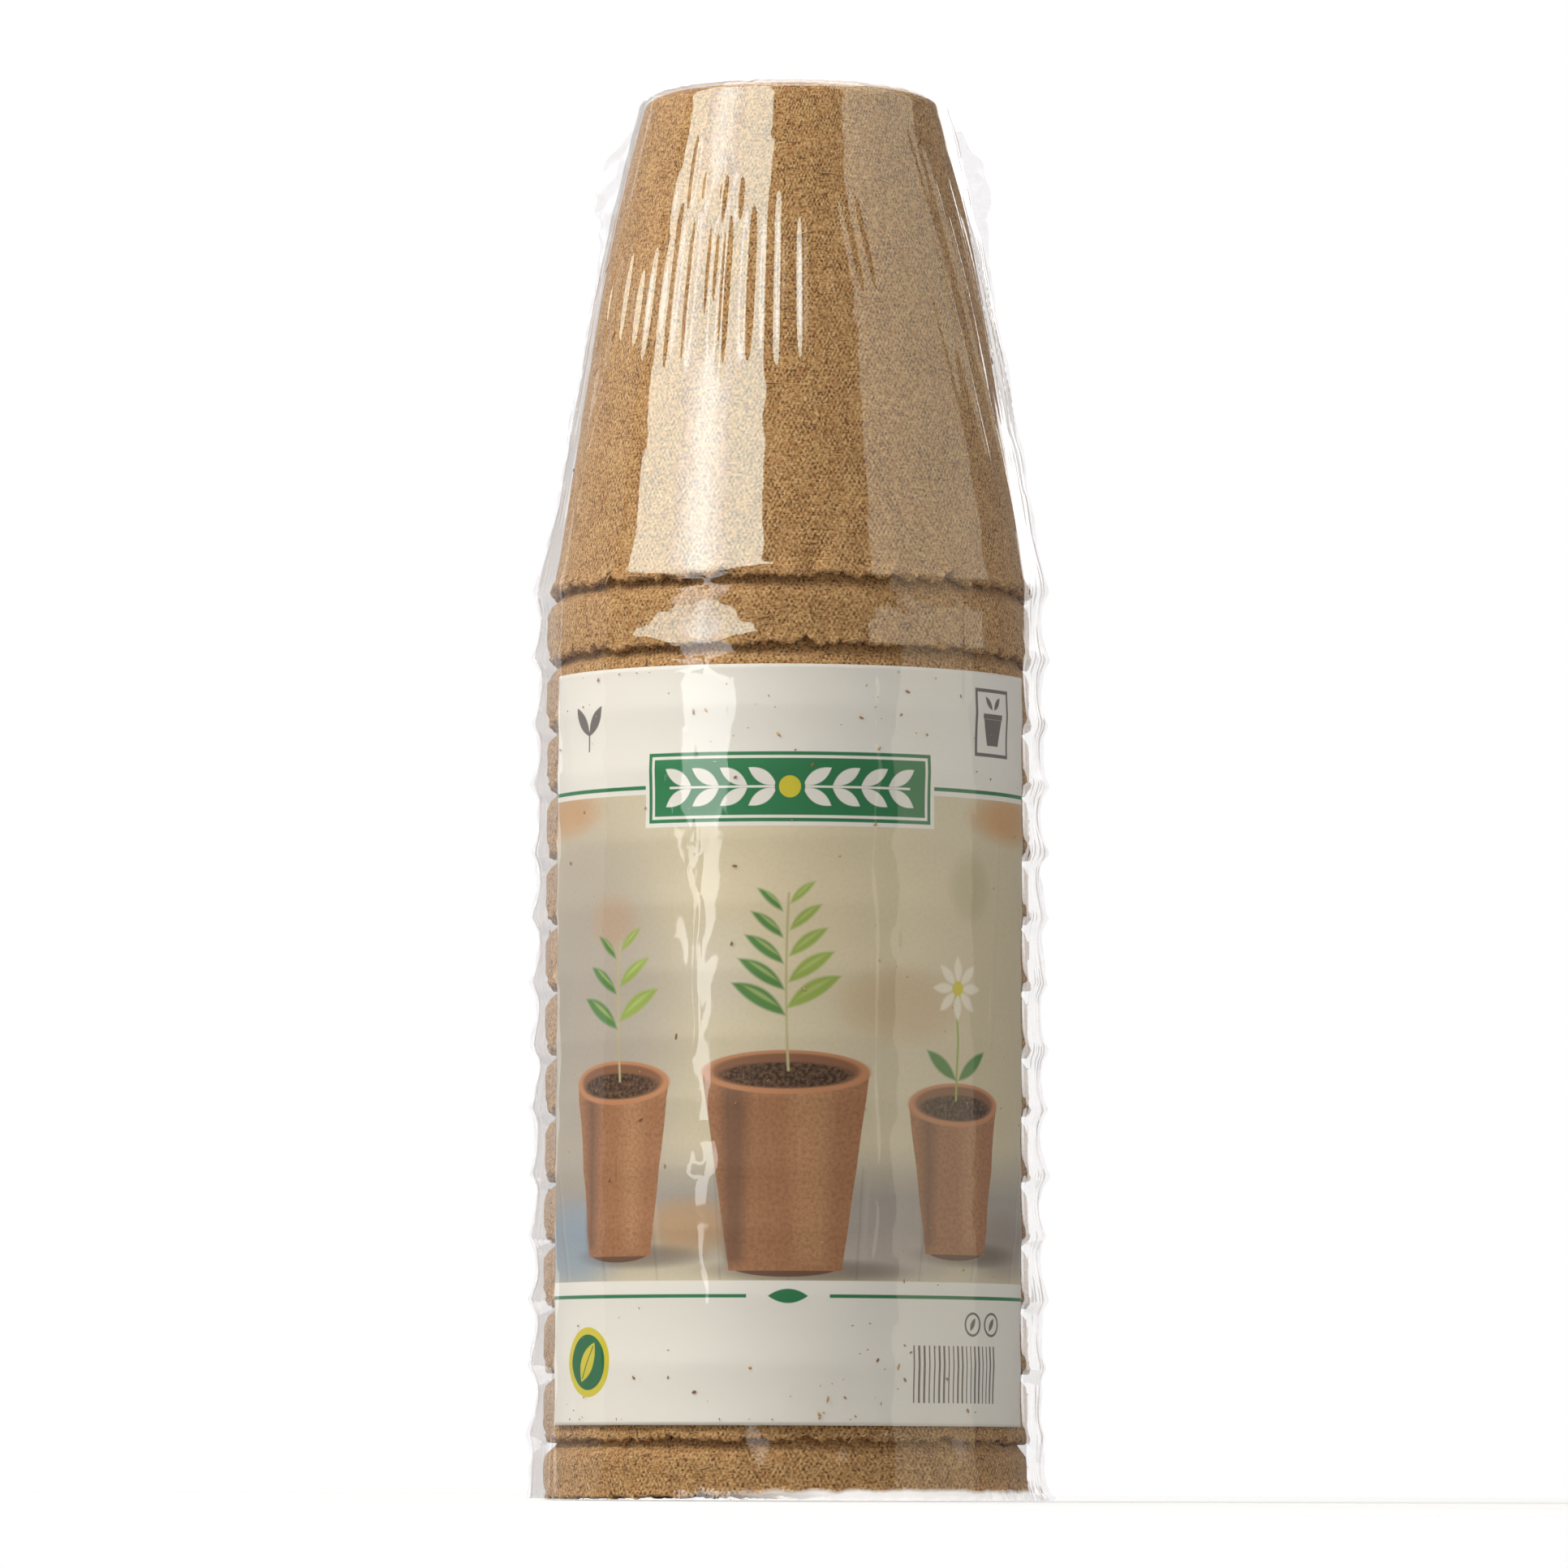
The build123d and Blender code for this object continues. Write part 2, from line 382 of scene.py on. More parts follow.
@dataclass(frozen=True)
class MouldedPulp(Finish):
    """Peat and wood-fibre pulp, vacuum-moulded on a wire screen and dried.

    It is matt and felted, with the screen's weave pressed into both faces, dark bark specks and a few pale
    straws. Its tone follows the same felt, strands and weave that raise its bumps, so the low places are
    darker: partly the fibres' own mottling and partly painted shade in the pits. The weave shows as rows of
    short upright dashes about 0.8 mm apart, so a turn round the wall has about 300 of them.
    """

    light: str = "E7C48B"
    middle: str = "C09660"
    dark: str = "684526"
    speck: str = "4A3320"
    straw: str = "EACD9C"
    rust: str = "A86A38"
    cells_round: int = 300
    screen_pitch: float = 1.4
    screen_depth: float = 0.09
    felt_depth: float = 0.20
    strand_depth: float = 0.12

    def shader(self, tree: Tree) -> Socket:
        """Builds the nodes and returns the finished surface.

        Args:
            tree: The material's node tree.

        Returns:
            The finished surface.
        """
        normal = add(tree, "TexCoord", output="Normal")
        mm = in_millimetres(tree)
        weave = self.weave(tree, mm, normal)
        cloud = add(tree, "TexNoise", {"Vector": mm, "Scale": 0.16, "Detail": 3.0})
        felt = add(tree, "TexNoise", {"Vector": mm, "Scale": 2.0, "Detail": 3.0, "Roughness": 0.62})
        strands = self.strands(tree, mm)
        # The tone comes from the same felt, strands and weave as the bump below, so low places are darker:
        # partly the fibres' own mottling and partly painted shade in the pits.
        tone = felt
        for pattern, weight in ((strands, 0.6), (weave, 0.15), (cloud, 0.18)):
            tone = add(tree, "Math", (pattern, weight, tone), operation="MULTIPLY_ADD")
        tone = add(tree, "MapRange", (tone, 0.71, 1.19))
        ramp = add(tree, "ValToRGB", {0: tone})
        stops = ramp.node.color_ramp.elements
        stops[0].color = hex_colour(self.dark)
        stops[1].color = hex_colour(self.light)
        stops.new(0.44).color = hex_colour(self.middle)
        rusty = add(tree, "TexNoise", {"Vector": mm, "Scale": 1.1, "Detail": 2.0})
        rusty = add(tree, "MapRange", {0: rusty, 1: 0.50, 2: 0.66, 4: 0.35})
        colour = add(tree, "Mix", {0: rusty, MIX_A: ramp, MIX_B: hex_colour(self.rust)},
                     MIX_RESULT, data_type="RGBA")
        wobble = add(tree, "TexNoise", {"Vector": mm, "Scale": 2.4, "Detail": 1.0}, "Color")
        bent = add(tree, "VectorMath", (wobble, mm), operation="ADD")
        bent = add(tree, "VectorMath", (bent, (1.0, 1.0, 1.5)), operation="MULTIPLY")
        stretched = add(tree, "VectorMath", (mm, (0.6, 0.6, 1.9)), operation="MULTIPLY")
        for where, scale, size, rarity, code in (
            (bent, 1.3, 0.36, 0.60, self.speck), (bent, 0.5, 0.20, 0.72, self.speck),
            (stretched, 0.30, 0.13, 0.84, self.straw),
        ):
            colour = self.flecked(tree, colour, where, scale, size, rarity, code)
        height = add(tree, "Math", (weave, self.screen_depth * MM), operation="MULTIPLY")
        for fibres, depth in ((felt, self.felt_depth), (strands, self.strand_depth)):
            height = add(tree, "Math", (fibres, depth * MM, height), operation="MULTIPLY_ADD")
        bump = add(tree, "Bump", {"Height": height, "Distance": 1.0, "Strength": 1.0})
        return add(tree, "BsdfPrincipled", {
            "Base Color": colour, "Roughness": 0.92, "IOR": 1.45, "Specular IOR Level": 0.25,
            "Sheen Weight": 0.08, "Normal": bump})

    def weave(self, tree: Tree, mm: Socket, normal: Socket) -> Socket:
        """Height of the screen's weave, round the wall and across the base.

        Args:
            tree: The material's node tree.
            mm: Coordinates in millimetres.
            normal: Direction that the surface faces.

        Returns:
            The height, about -1 to 1.
        """
        worn = add(tree, "TexNoise", {"Vector": mm, "Scale": 0.4, "Detail": 3.0})
        worn = add(tree, "MapRange", (worn, 0.36, 0.62, 0.15, 1.0))
        wobble = add(tree, "TexNoise", {"Vector": mm, "Scale": 0.9, "Detail": 2.0}, "Color")
        mm = add(tree, "VectorMath", (wobble, (0.9, 0.9, 0.9), mm), operation="MULTIPLY_ADD")
        axes = add(tree, "SeparateXYZ", {0: mm}).node.outputs
        back = add(tree, "Math", (axes[1], -1.0), operation="MULTIPLY")
        turn = add(tree, "Math", (axes[0], back), operation="ARCTAN2")
        pitch = 2 * math.pi / self.screen_pitch
        waves = []
        rates = ((turn, float(self.cells_round)), (axes[2], pitch), (axes[0], pitch), (axes[1], pitch))
        for along, rate in rates:
            phase = add(tree, "Math", (along, rate), operation="MULTIPLY")
            waves.append(add(tree, "Math", {0: phase}, operation="SINE"))
        wall = add(tree, "Math", (waves[0], waves[1]), operation="MULTIPLY")
        base = add(tree, "Math", (waves[2], waves[3]), operation="MULTIPLY")
        facing = add(tree, "SeparateXYZ", {0: normal}).node.outputs[2]
        flat = add(tree, "Math", {0: facing}, operation="ABSOLUTE")
        flat = add(tree, "Math", (flat, 0.8), operation="GREATER_THAN")
        pressed = add(tree, "Mix", {0: flat, 2: wall, 3: base}, data_type="FLOAT")
        return add(tree, "Math", (pressed, worn), operation="MULTIPLY")

    def strands(self, tree: Tree, mm: Socket) -> Socket:
        """Streaks of matted fibre, about 0.2 mm thick and 1.2 mm long, lying two ways.

        Args:
            tree: The material's node tree.
            mm: Coordinates in millimetres.

        Returns:
            How much fibre shows, from 0 to 1.
        """
        streaks = []
        for turn in (0.5, -0.8):
            laid = add(tree, "Mapping", {
                "Vector": mm, "Rotation": (turn, 0.6 * turn, 0.0), "Scale": (0.8, 0.8, 4.4)})
            streaks.append(add(tree, "TexNoise", {"Vector": laid, "Scale": 1.0, "Detail": 3.0}))
        return add(tree, "Math", (streaks[0], streaks[1]), operation="MAXIMUM")

    def flecked(self, tree: Tree, under: Socket, mm: Socket, scale: float, size: float, rarity: float,
                code: str) -> Socket:
        """Colour with scattered flecks over it.

        Args:
            tree: The material's node tree.
            under: Colour below the flecks.
            mm: Coordinates in millimetres.
            scale: Cells to a millimetre.
            size: Largest fleck, as a share of a cell.
            rarity: Share of the cells that stay empty.
            code: The flecks' colour.

        Returns:
            The colour with its flecks.
        """
        cells = add(tree, "TexVoronoi", {"Vector": mm, "Scale": scale}).node.outputs
        chance = add(tree, "SeparateColor", {0: cells["Color"]}).node.outputs
        wanted = add(tree, "MapRange", (chance[0], rarity, 1.0, 0.0, size))
        edge = add(tree, "Math", (wanted, cells["Distance"]), operation="SUBTRACT")
        mask = add(tree, "MapRange", {0: edge, 1: 0.0, 2: 0.10, 4: 0.85})
        return add(tree, "Mix", {0: mask, MIX_A: under, MIX_B: hex_colour(code)},
                   MIX_RESULT, data_type="RGBA")


@dataclass(frozen=True)
class ShrinkFilm(Finish):
    """Clear polyolefin shrink film, cast and drawn tight by heat.

    Both faces of the 0.02 mm sheet mirror at once, so it reflects about 8 percent straight on and
    nearly everything at a grazing angle, and it lets the rest through.
    """

    straight_on: float = 0.085
    roughness: float = 0.035
    clear: str = "FBFAFA"
    crinkle_pitch: float = 3.0
    crinkle_depth: float = 0.010
    crumpled: str = "FFFDFC"
    crumpled_height: float = 2.2
    crumpled_share: float = 0.85
    crumpled_from: float = -14.0
    crumpled_full: float = 10.0
    # Painted light: strength of an emission on the crumpled foot that stands in for light scattered through
    # it; it is no lamp.
    painted_through_glow: float = 0.42

    def shader(self, tree: Tree) -> Socket:
        """Builds the nodes and returns the finished surface.

        Args:
            tree: The material's node tree.

        Returns:
            The finished surface.
        """
        mm = in_millimetres(tree)
        crinkle = add(tree, "TexNoise", {"Vector": mm, "Scale": 1 / self.crinkle_pitch, "Detail": 1.0})
        bump = relief(tree, crinkle, self.crinkle_depth)
        gloss = add(tree, "BsdfGlossy", {
            "Color": hex_colour("FFFFFF"), "Roughness": self.roughness, "Normal": bump})
        clear = add(tree, "BsdfTransparent", {"Color": hex_colour(self.clear)})
        facing = add(tree, "LayerWeight", {"Blend": 0.5, "Normal": bump}, "Facing")
        grazing = add(tree, "Math", (facing, 5.0), operation="POWER")
        share = add(tree, "MapRange", {0: grazing, 3: self.straight_on, 4: 1.0})
        white = add(tree, "BsdfDiffuse", {"Color": hex_colour(self.crumpled)})
        # Painted light: the crumpled white foot also glows by this emission, in place of light that scatters
        # through it from behind.
        painted_glow = add(tree, "Emission", {"Strength": self.painted_through_glow})
        white = add(tree, "AddShader", (white, painted_glow))
        body = add(tree, "MixShader", (self.foot(tree, mm, crinkle), clear, white))
        return add(tree, "MixShader", (share, body, gloss))

    def foot(self, tree: Tree, mm: Socket, crinkle: Socket) -> Socket:
        """How white the film is: only where it is crumpled, low down on the right, where it is milky and also
        glows with a painted light.

        Args:
            tree: The material's node tree.
            mm: Coordinates in millimetres.
            crinkle: The film's crinkles, as a pattern.

        Returns:
            The white's share, from 0 to 1.
        """
        axes = add(tree, "SeparateXYZ", {0: mm}).node.outputs
        uneven = add(tree, "Math", (crinkle, -1.2, axes[2]), operation="MULTIPLY_ADD")
        low = add(tree, "MapRange", (
            uneven, self.crumpled_height - 1.4, self.crumpled_height - 0.6, self.crumpled_share, 0.0))
        right = add(tree, "MapRange", (axes[0], self.crumpled_from, self.crumpled_full))
        return add(tree, "Math", (low, right), operation="MULTIPLY")


@dataclass(frozen=True)
class WeldedFilm(Finish):
    """Shrink film where it is welded and gathered: several crumpled layers, milky and faintly lilac."""

    clear: str = "FCFAFB"
    milk: str = "EDE4E6"
    milk_share: float = 0.03
    gloss_share: float = 0.12
    fold_depth: float = 0.25

    def shader(self, tree: Tree) -> Socket:
        """Builds the nodes and returns the finished surface.

        Args:
            tree: The material's node tree.

        Returns:
            The finished surface.
        """
        mm = in_millimetres(tree)
        folds = add(tree, "TexNoise", {"Vector": mm, "Scale": 0.9, "Detail": 4.0, "Roughness": 0.7})
        bump = relief(tree, folds, self.fold_depth)
        clear = add(tree, "BsdfTransparent", {"Color": hex_colour(self.clear)})
        milk = add(tree, "BsdfDiffuse", {"Color": hex_colour(self.milk), "Normal": bump})
        gloss = add(tree, "BsdfGlossy", {"Roughness": 0.12, "Normal": bump})
        milky = add(tree, "MapRange", (folds, 0.35, 0.7, 0.0, 2 * self.milk_share))
        body = add(tree, "MixShader", (milky, clear, milk))
        facing = add(tree, "LayerWeight", {"Blend": 0.5, "Normal": bump}, "Facing")
        share = add(tree, "MapRange", {0: facing, 3: 0.06, 4: 2 * self.gloss_share})
        return add(tree, "MixShader", (share, body, gloss))


@dataclass(frozen=True)
class StrawFibre(Finish):
    """Loose straw and wood fibre: matt, pale where it is fresh and brown where it is bark."""

    pale: str = "D8B582"
    dark: str = "8A5E38"
    grain_depth: float = 0.03

    def shader(self, tree: Tree) -> Socket:
        """Builds the nodes and returns the finished surface.

        Args:
            tree: The material's node tree.

        Returns:
            The finished surface.
        """
        mm = in_millimetres(tree)
        patch = add(tree, "TexNoise", {"Vector": mm, "Scale": 0.35, "Detail": 2.0})
        grain = add(tree, "TexNoise", {"Vector": mm, "Scale": 6.0, "Detail": 2.0})
        tone = add(tree, "MapRange", (patch, 0.35, 0.65))
        colour = add(tree, "Mix", {
            0: tone, MIX_A: hex_colour(self.dark), MIX_B: hex_colour(self.pale),
        }, MIX_RESULT, data_type="RGBA")
        return add(tree, "BsdfPrincipled", {
            "Base Color": colour, "Roughness": 0.8, "Specular IOR Level": 0.3,
            "Normal": relief(tree, grain, self.grain_depth)})


@dataclass(frozen=True)
class Motif:
    """One printed shape on the label.

    Args:
        shape: Its outline.
        centre: Place of its middle on the flat label, in millimetres from the middle of the lower edge.
        size: Width and height.
        colour: Its ink.
        turn_deg: How far it is turned, counterclockwise.
        bend: How far its ends are drawn to the right, as a share of its width.
        taper: How much wider its top is than its middle, as a share.
        soft: Width of its blurred edge.
        strength: How much of the ink covers what is below.
        speckled: Whether the ink is broken up into fine specks.
    """

    shape: PrintShape
    centre: tuple[float, float]
    size: tuple[float, float]
    colour: str
    turn_deg: float = 0.0
    bend: float = 0.0
    taper: float = 0.0
    soft: float = 0.12
    strength: float = 1.0
    speckled: bool = False


@dataclass
class LabelPrint:
    """A plain garden design: a green banner over a picture of three pots, and a footer.

    The label carries no words. All places are millimetres on the flat sheet, with 0 across at its
    middle and 0 up at its lower edge.
    """

    width: float
    height: float
    green: str = "2F7D4E"
    deep_green: str = "1F6B40"
    yellow: str = "D8CB3A"
    paper: str = "EFECE2"
    ink: str = "77706B"
    clay: str = "B07D56"
    clay_light: str = "C99A6C"
    clay_dark: str = "6F5240"
    soil: str = "3A281D"
    stem_green: str = "9DB356"
    leaf_green: str = "5C8A48"
    full: float = 120.0
    motifs: list[Motif] = field(default_factory=list)

    def __post_init__(self) -> None:
        """Lays out the whole print, from the lowest ink up; a full-width shape runs past both edges."""
        self.picture()
        self.pot((-31.5, 42.5), 10.5, 29.0)
        self.pot((31.0, 41.0), 10.0, 25.0)
        self.pot((-0.5, 42.0), 14.0, 33.0)
        self.sprout((-31.5, 57.0), 24.0, 3)
        self.sprout((-0.5, 58.5), 30.0, 5)
        self.daisy((31.0, 54.0), 19.0)
        self.banner()
        self.footer()

    def put(self, shape: PrintShape, x: float, y: float, width: float, height: float, colour: str,
            **more: float) -> None:
        """Adds one motif."""
        self.motifs.append(Motif(shape, (x, y), (width, height), colour, **more))

    def picture(self) -> None:
        """Soft wall and grey boards behind the pots, between the header and the footer."""
        put, block, oval = self.put, PrintShape.BLOCK, PrintShape.OVAL
        wall, boards, gap = (64, self.full, 84), 33, 12
        put(block, 0, *wall, "DACFB1")
        for x, y, wide, high, colour, soft, strength in (
            (-40, 66, 56, 96, "B8AFA1", 22.0, 0.95), (6, 88, 66, 44, "E2D5B2", 16.0, 0.75),
            (44, 72, 44, 76, "D6C8A4", 18.0, 0.6), (-47, 103, 28, 11, "CE9A66", 7.0, 0.7),
            (-33, 84, 14, 12, "C9A07A", 7.0, 0.45), (46, 102, 30, 11, "D39A55", 7.0, 0.75),
            (20, 70, 30, 16, "C9A878", 7.0, 0.5), (-12, 76, 18, 22, "DAD3C0", 7.0, 0.5),
            (34, 90, 12, 14, "A9A578", 7.0, 0.4), (0, 35, self.full, 24, "AFA79C", 9.0, 1.0),
            (-44, 30, 34, 20, "93A6B4", 8.0, 0.85), (-17, 33, 24, 12, "C39A66", 6.0, 0.7),
            (18, 28, 30, 12, "B9AEA6", 6.0, 0.7), (44, 30, 26, 14, "9C8F84", 6.0, 0.7),
        ):
            shape = block if wide == self.full else oval
            put(shape, x, y, wide, high, colour, soft=soft, strength=strength)
        for number in range(-4, 5):
            for off, wide, colour, strength in ((0, 0.6, "76716C", 0.5), (1, 1.4, "D5CEC4", 0.35)):
                put(block, gap * number + off, boards, wide, 20, colour, turn_deg=-3.4 * number, soft=wide,
                    strength=strength)
        put(block, 0, *wall, "6F5A42", strength=0.06, speckled=True)

    def pot(self, middle: tuple[float, float], half_width: float, tall: float) -> None:
        """One fibre pot with its rim, soil and shade.

        Args:
            middle: Place of its middle.
            half_width: Half of its width at the mouth.
            tall: Its height.
        """
        put, block, oval = self.put, PrintShape.BLOCK, PrintShape.OVAL
        x, y = middle
        wall = {"taper": 0.2}
        foot, mouth = y - tall / 2, y + tall / 2
        put(oval, x + 4, foot, 3.1 * half_width, 5.0, "5A4A40", soft=3.0, strength=0.6)
        put(oval, x, foot + 0.8, 1.36 * half_width, 3.6, self.clay_dark)
        put(block, x, y, 1.7 * half_width, tall, self.clay, **wall)
        for off, wide, colour, soft, strength in (
            (0.30, 0.62, self.clay_light, 2.6, 0.6), (-0.62, 0.44, self.clay_dark, 2.2, 0.7),
        ):
            put(block, x + off * half_width, y, wide * half_width, tall, colour, soft=soft,
                strength=strength, **wall)
        put(block, x, y, 1.7 * half_width, tall, self.clay_dark, strength=0.45, speckled=True, **wall)
        put(oval, x, mouth, 2.14 * half_width, 7.6, "C58C62", soft=0.3)
        put(oval, x, mouth + 0.2, 1.92 * half_width, 6.2, "8E6347", soft=0.4)
        put(oval, x, mouth - 0.5, 1.78 * half_width, 4.8, self.soil, soft=0.5)
        put(oval, x, mouth - 0.5, 1.78 * half_width, 4.8, "8A6A4E", strength=0.7, speckled=True)

    def sprout(self, root: tuple[float, float], tall: float, pairs: int) -> None:
        """One stem with pairs of leaves that shrink towards its tip.

        Args:
            root: Place where it comes out of the soil.
            tall: Its height.
            pairs: How many pairs of leaves it has.
        """
        x, y = root
        self.put(PrintShape.BLOCK, x, y + tall / 2, 0.7, tall, "C2B98A", bend=1.2, soft=0.25)
        for pair in range(pairs):
            share = (pair + 1) / pairs
            size = 6.8 - 3.2 * share
            for side in (-1, 1):
                at_x, at_y = x + side * size * 0.72, y + tall * (0.3 + 0.68 * share) + 0.6 * side
                turn = -side * (62.0 - 14.0 * share)
                shade = self.leaf_green if side < 0 else self.stem_green
                self.put(PrintShape.LEAF, at_x, at_y, size * 0.58, size * 1.9, shade, turn_deg=turn,
                         bend=0.3 * side, soft=0.35)
                self.put(PrintShape.LEAF, at_x + 0.2, at_y + 0.3, size * 0.22, size * 1.5, "C6CF86",
                         turn_deg=turn, bend=0.3 * side, soft=0.4, strength=0.55)

    def daisy(self, root: tuple[float, float], tall: float) -> None:
        """A stem with two leaves and a ring of petals.

        Args:
            root: Place where it comes out of the soil.
            tall: Height of its flower.
        """
        x, y = root
        self.put(PrintShape.BLOCK, x, y + tall / 2, 0.7, tall, self.stem_green, bend=-1.5, soft=0.25)
        for side in (-1, 1):
            self.put(PrintShape.LEAF, x + 3.4 * side, y + 0.32 * tall, 3.0, 9.0, self.leaf_green,
                     turn_deg=-52.0 * side, soft=0.35)
        petals = 8
        for petal in range(petals):
            turn = 360 * petal / petals
            reach = math.radians(turn)
            self.put(PrintShape.LEAF, x - 3.1 * math.sin(reach), y + tall + 3.1 * math.cos(reach), 2.4, 5.4,
                     "EFE6CF", turn_deg=turn, soft=0.35)
        self.put(PrintShape.OVAL, x, y + tall, 2.8, 2.8, self.yellow, soft=0.3)

    def banner(self) -> None:
        """White header with a green rule, a green banner without words, and a sprig on it."""
        put, block, leaf = self.put, PrintShape.BLOCK, PrintShape.LEAF
        middle = 106.0
        put(block, 0, self.height, self.full, 2 * (self.height - middle + 1.0), self.paper)
        put(block, 0, middle + 0.2, self.full, 0.75, self.green)
        for wide, high, colour in (
            (51.5, 13.2, self.paper), (50.0, 11.8, self.green),
            (48.8, 10.6, self.paper), (47.8, 9.6, self.green),
        ):
            put(block, 0, middle, wide, high, colour)
        for side in (-1, 1):
            for number in range(4):
                for up, turn in ((1.7, 58.0), (-1.7, 122.0)):
                    put(leaf, side * (4.6 + 4.9 * number), middle + up, 2.4, 5.8, self.paper,
                        turn_deg=-side * turn)
        put(block, 0, middle, 42.0, 0.5, self.paper)
        put(PrintShape.OVAL, 0, middle, 5.2, 5.2, self.green)
        put(PrintShape.OVAL, 0, middle, 3.8, 3.8, self.yellow)
        sign, left, right = 118.0, -39.5, 40.0
        for side in (-1, 1):
            put(leaf, left + 1.8 * side, sign, 2.4, 6.4, self.ink, turn_deg=-36.0 * side)
        put(block, left, sign - 3.4, 0.5, 3.6, self.ink)
        put(block, right, sign, 10.0, 11.6, self.ink)
        put(block, right, sign, 8.8, 10.4, self.paper)
        put(block, right, sign - 1.6, 4.4, 4.6, self.ink, taper=0.25)
        put(block, right, sign + 1.1, 5.8, 1.0, self.ink)
        for side in (-1, 1):
            put(leaf, right + 1.2 * side, sign + 3.3, 1.3, 3.2, self.ink, turn_deg=-40.0 * side)

    def footer(self) -> None:
        """White footer with a green rule, a leaf on a disc, and a block of plain bars."""
        put, block, oval, leaf = self.put, PrintShape.BLOCK, PrintShape.OVAL, PrintShape.LEAF
        top, rule, disc = 24.0, 21.4, (-39.0, 10.5)
        put(block, 0, 0, self.full, 2 * top, self.paper)
        put(block, 0, rule, self.full, 0.7, self.green)
        put(block, 0, rule, 14.0, 2.6, self.paper)
        put(leaf, 0, rule, 2.6, 7.0, self.green, turn_deg=90.0)
        for shape, wide, high, colour in (
            (oval, 11.8, 11.8, self.yellow), (oval, 9.4, 9.4, self.deep_green), (leaf, 3.6, 7.8, self.yellow),
            (block, 0.35, 6.4, self.deep_green),
        ):
            put(shape, *disc, wide, high, colour, turn_deg=0.0 if shape is oval else -30.0)
        for across in (35.0, 40.0):
            put(oval, across, 17.0, 4.2, 4.2, self.ink)
            put(oval, across, 17.0, 3.4, 3.4, self.paper)
            put(leaf, across, 17.0, 1.2, 2.8, self.ink, turn_deg=-30.0)
        bars = 19
        for number in range(bars):
            thick = (0.35, 0.75, 0.5, 0.9)[(number * number + number) % 4]
            put(block, 22.0 + 18.6 * number / (bars - 1), 8.6, thick, 9.6, self.ink, soft=0.08)


@dataclass(frozen=True)
class PrintedPaper(Finish):
    """Coated label paper, about 0.1 mm thick, offset printed.

    It is smooth and half gloss, the white is slightly warm, and the ink lies in it without relief.
    """

    design: LabelPrint
    roughness: float = 0.48
    fibre_depth: float = 0.01

    def shader(self, tree: Tree) -> Socket:
        """Builds the nodes and returns the finished surface.

        Args:
            tree: The material's node tree.

        Returns:
            The finished surface.
        """
        flat = add(tree, "TexCoord", output="UV")
        mm = add(tree, "Mapping", {
            "Vector": flat, "Location": (-self.design.width / 2, 0.0, 0.0),
            "Scale": (self.design.width, self.design.height, 1.0)})
        place = add(tree, "SeparateXYZ", {0: mm}).node.outputs
        colour = hex_colour(self.design.paper)
        grain = add(tree, "TexNoise", {"Vector": mm, "Scale": 1.4, "Detail": 4.0, "Roughness": 0.7})
        specks = add(tree, "MapRange", (grain, 0.42, 0.64))
        for motif in self.design.motifs:
            colour = self.printed(tree, place, colour, motif, specks)
        fibre = add(tree, "TexNoise", {"Vector": mm, "Scale": 2.5, "Detail": 4.0})
        shade = add(tree, "MapRange", {0: fibre, 3: 0.96, 4: 1.03})
        colour = add(tree, "Mix", {0: 1.0, MIX_A: colour, MIX_B: shade}, MIX_RESULT,
                     data_type="RGBA", blend_type="MULTIPLY")
        return add(tree, "BsdfPrincipled", {
            "Base Color": colour, "Roughness": self.roughness, "IOR": 1.45, "Specular IOR Level": 0.3,
            "Normal": relief(tree, fibre, self.fibre_depth)})

    def printed(self, tree: Tree, place: bpy.types.NodeOutputs, under: Socket, motif: Motif,
                specks: Socket) -> Socket:
        """Colour with one motif printed over it.

        Args:
            tree: The material's node tree.
            place: Distances across and up the flat label, in millimetres.
            under: Colour below the motif.
            motif: The shape to print.
            specks: How much ink a speckled motif has at each place.

        Returns:
            The colour with the motif.
        """
        width, height = motif.size[0] / 2, motif.size[1] / 2
        cosine, sine = (trig(math.radians(motif.turn_deg)) for trig in (math.cos, math.sin))
        own = []
        for along, up, scale in ((cosine, sine, width), (-sine, cosine, height)):
            middle = motif.centre[0] * along + motif.centre[1] * up
            reach = add(tree, "Math", (place[0], along / scale, -middle / scale),
                        operation="MULTIPLY_ADD")
            own.append(add(tree, "Math", (place[1], up / scale, reach),
                           operation="MULTIPLY_ADD"))
        x, y = own
        square = add(tree, "Math", (y, y), operation="MULTIPLY")
        if motif.bend:
            x = add(tree, "Math", (square, -motif.bend, x), operation="MULTIPLY_ADD")
        if motif.taper:
            wide = add(tree, "Math", (y, motif.taper, 1.0), operation="MULTIPLY_ADD")
            x = add(tree, "Math", (x, wide), operation="DIVIDE")
        across = add(tree, "Math", {0: x}, operation="ABSOLUTE")
        soft_x, soft_y = motif.soft / width, motif.soft / height
        if motif.shape is PrintShape.BLOCK:
            up = add(tree, "Math", {0: y}, operation="ABSOLUTE")
            sides = add(tree, "MapRange", (across, 1 - soft_x, 1.0, 1.0, 0.0))
            ends = add(tree, "MapRange", (up, 1 - soft_y, 1.0, motif.strength, 0.0))
            mask = add(tree, "Math", (sides, ends), operation="MULTIPLY")
        else:
            if motif.shape is PrintShape.OVAL:
                across = add(tree, "Math", (x, x), operation="MULTIPLY")
            reach = add(tree, "Math", (across, square), operation="ADD")
            edge = min(1.0, 2 * max(soft_x, soft_y))
            mask = add(tree, "MapRange", (reach, 1 - edge, 1.0, motif.strength, 0.0),
                       interpolation_type="SMOOTHSTEP")
        if motif.speckled:
            mask = add(tree, "Math", (mask, specks), operation="MULTIPLY")
        return add(tree, "Mix", {0: mask, MIX_A: under, MIX_B: hex_colour(motif.colour)},
                   MIX_RESULT, data_type="RGBA")


# Pieces


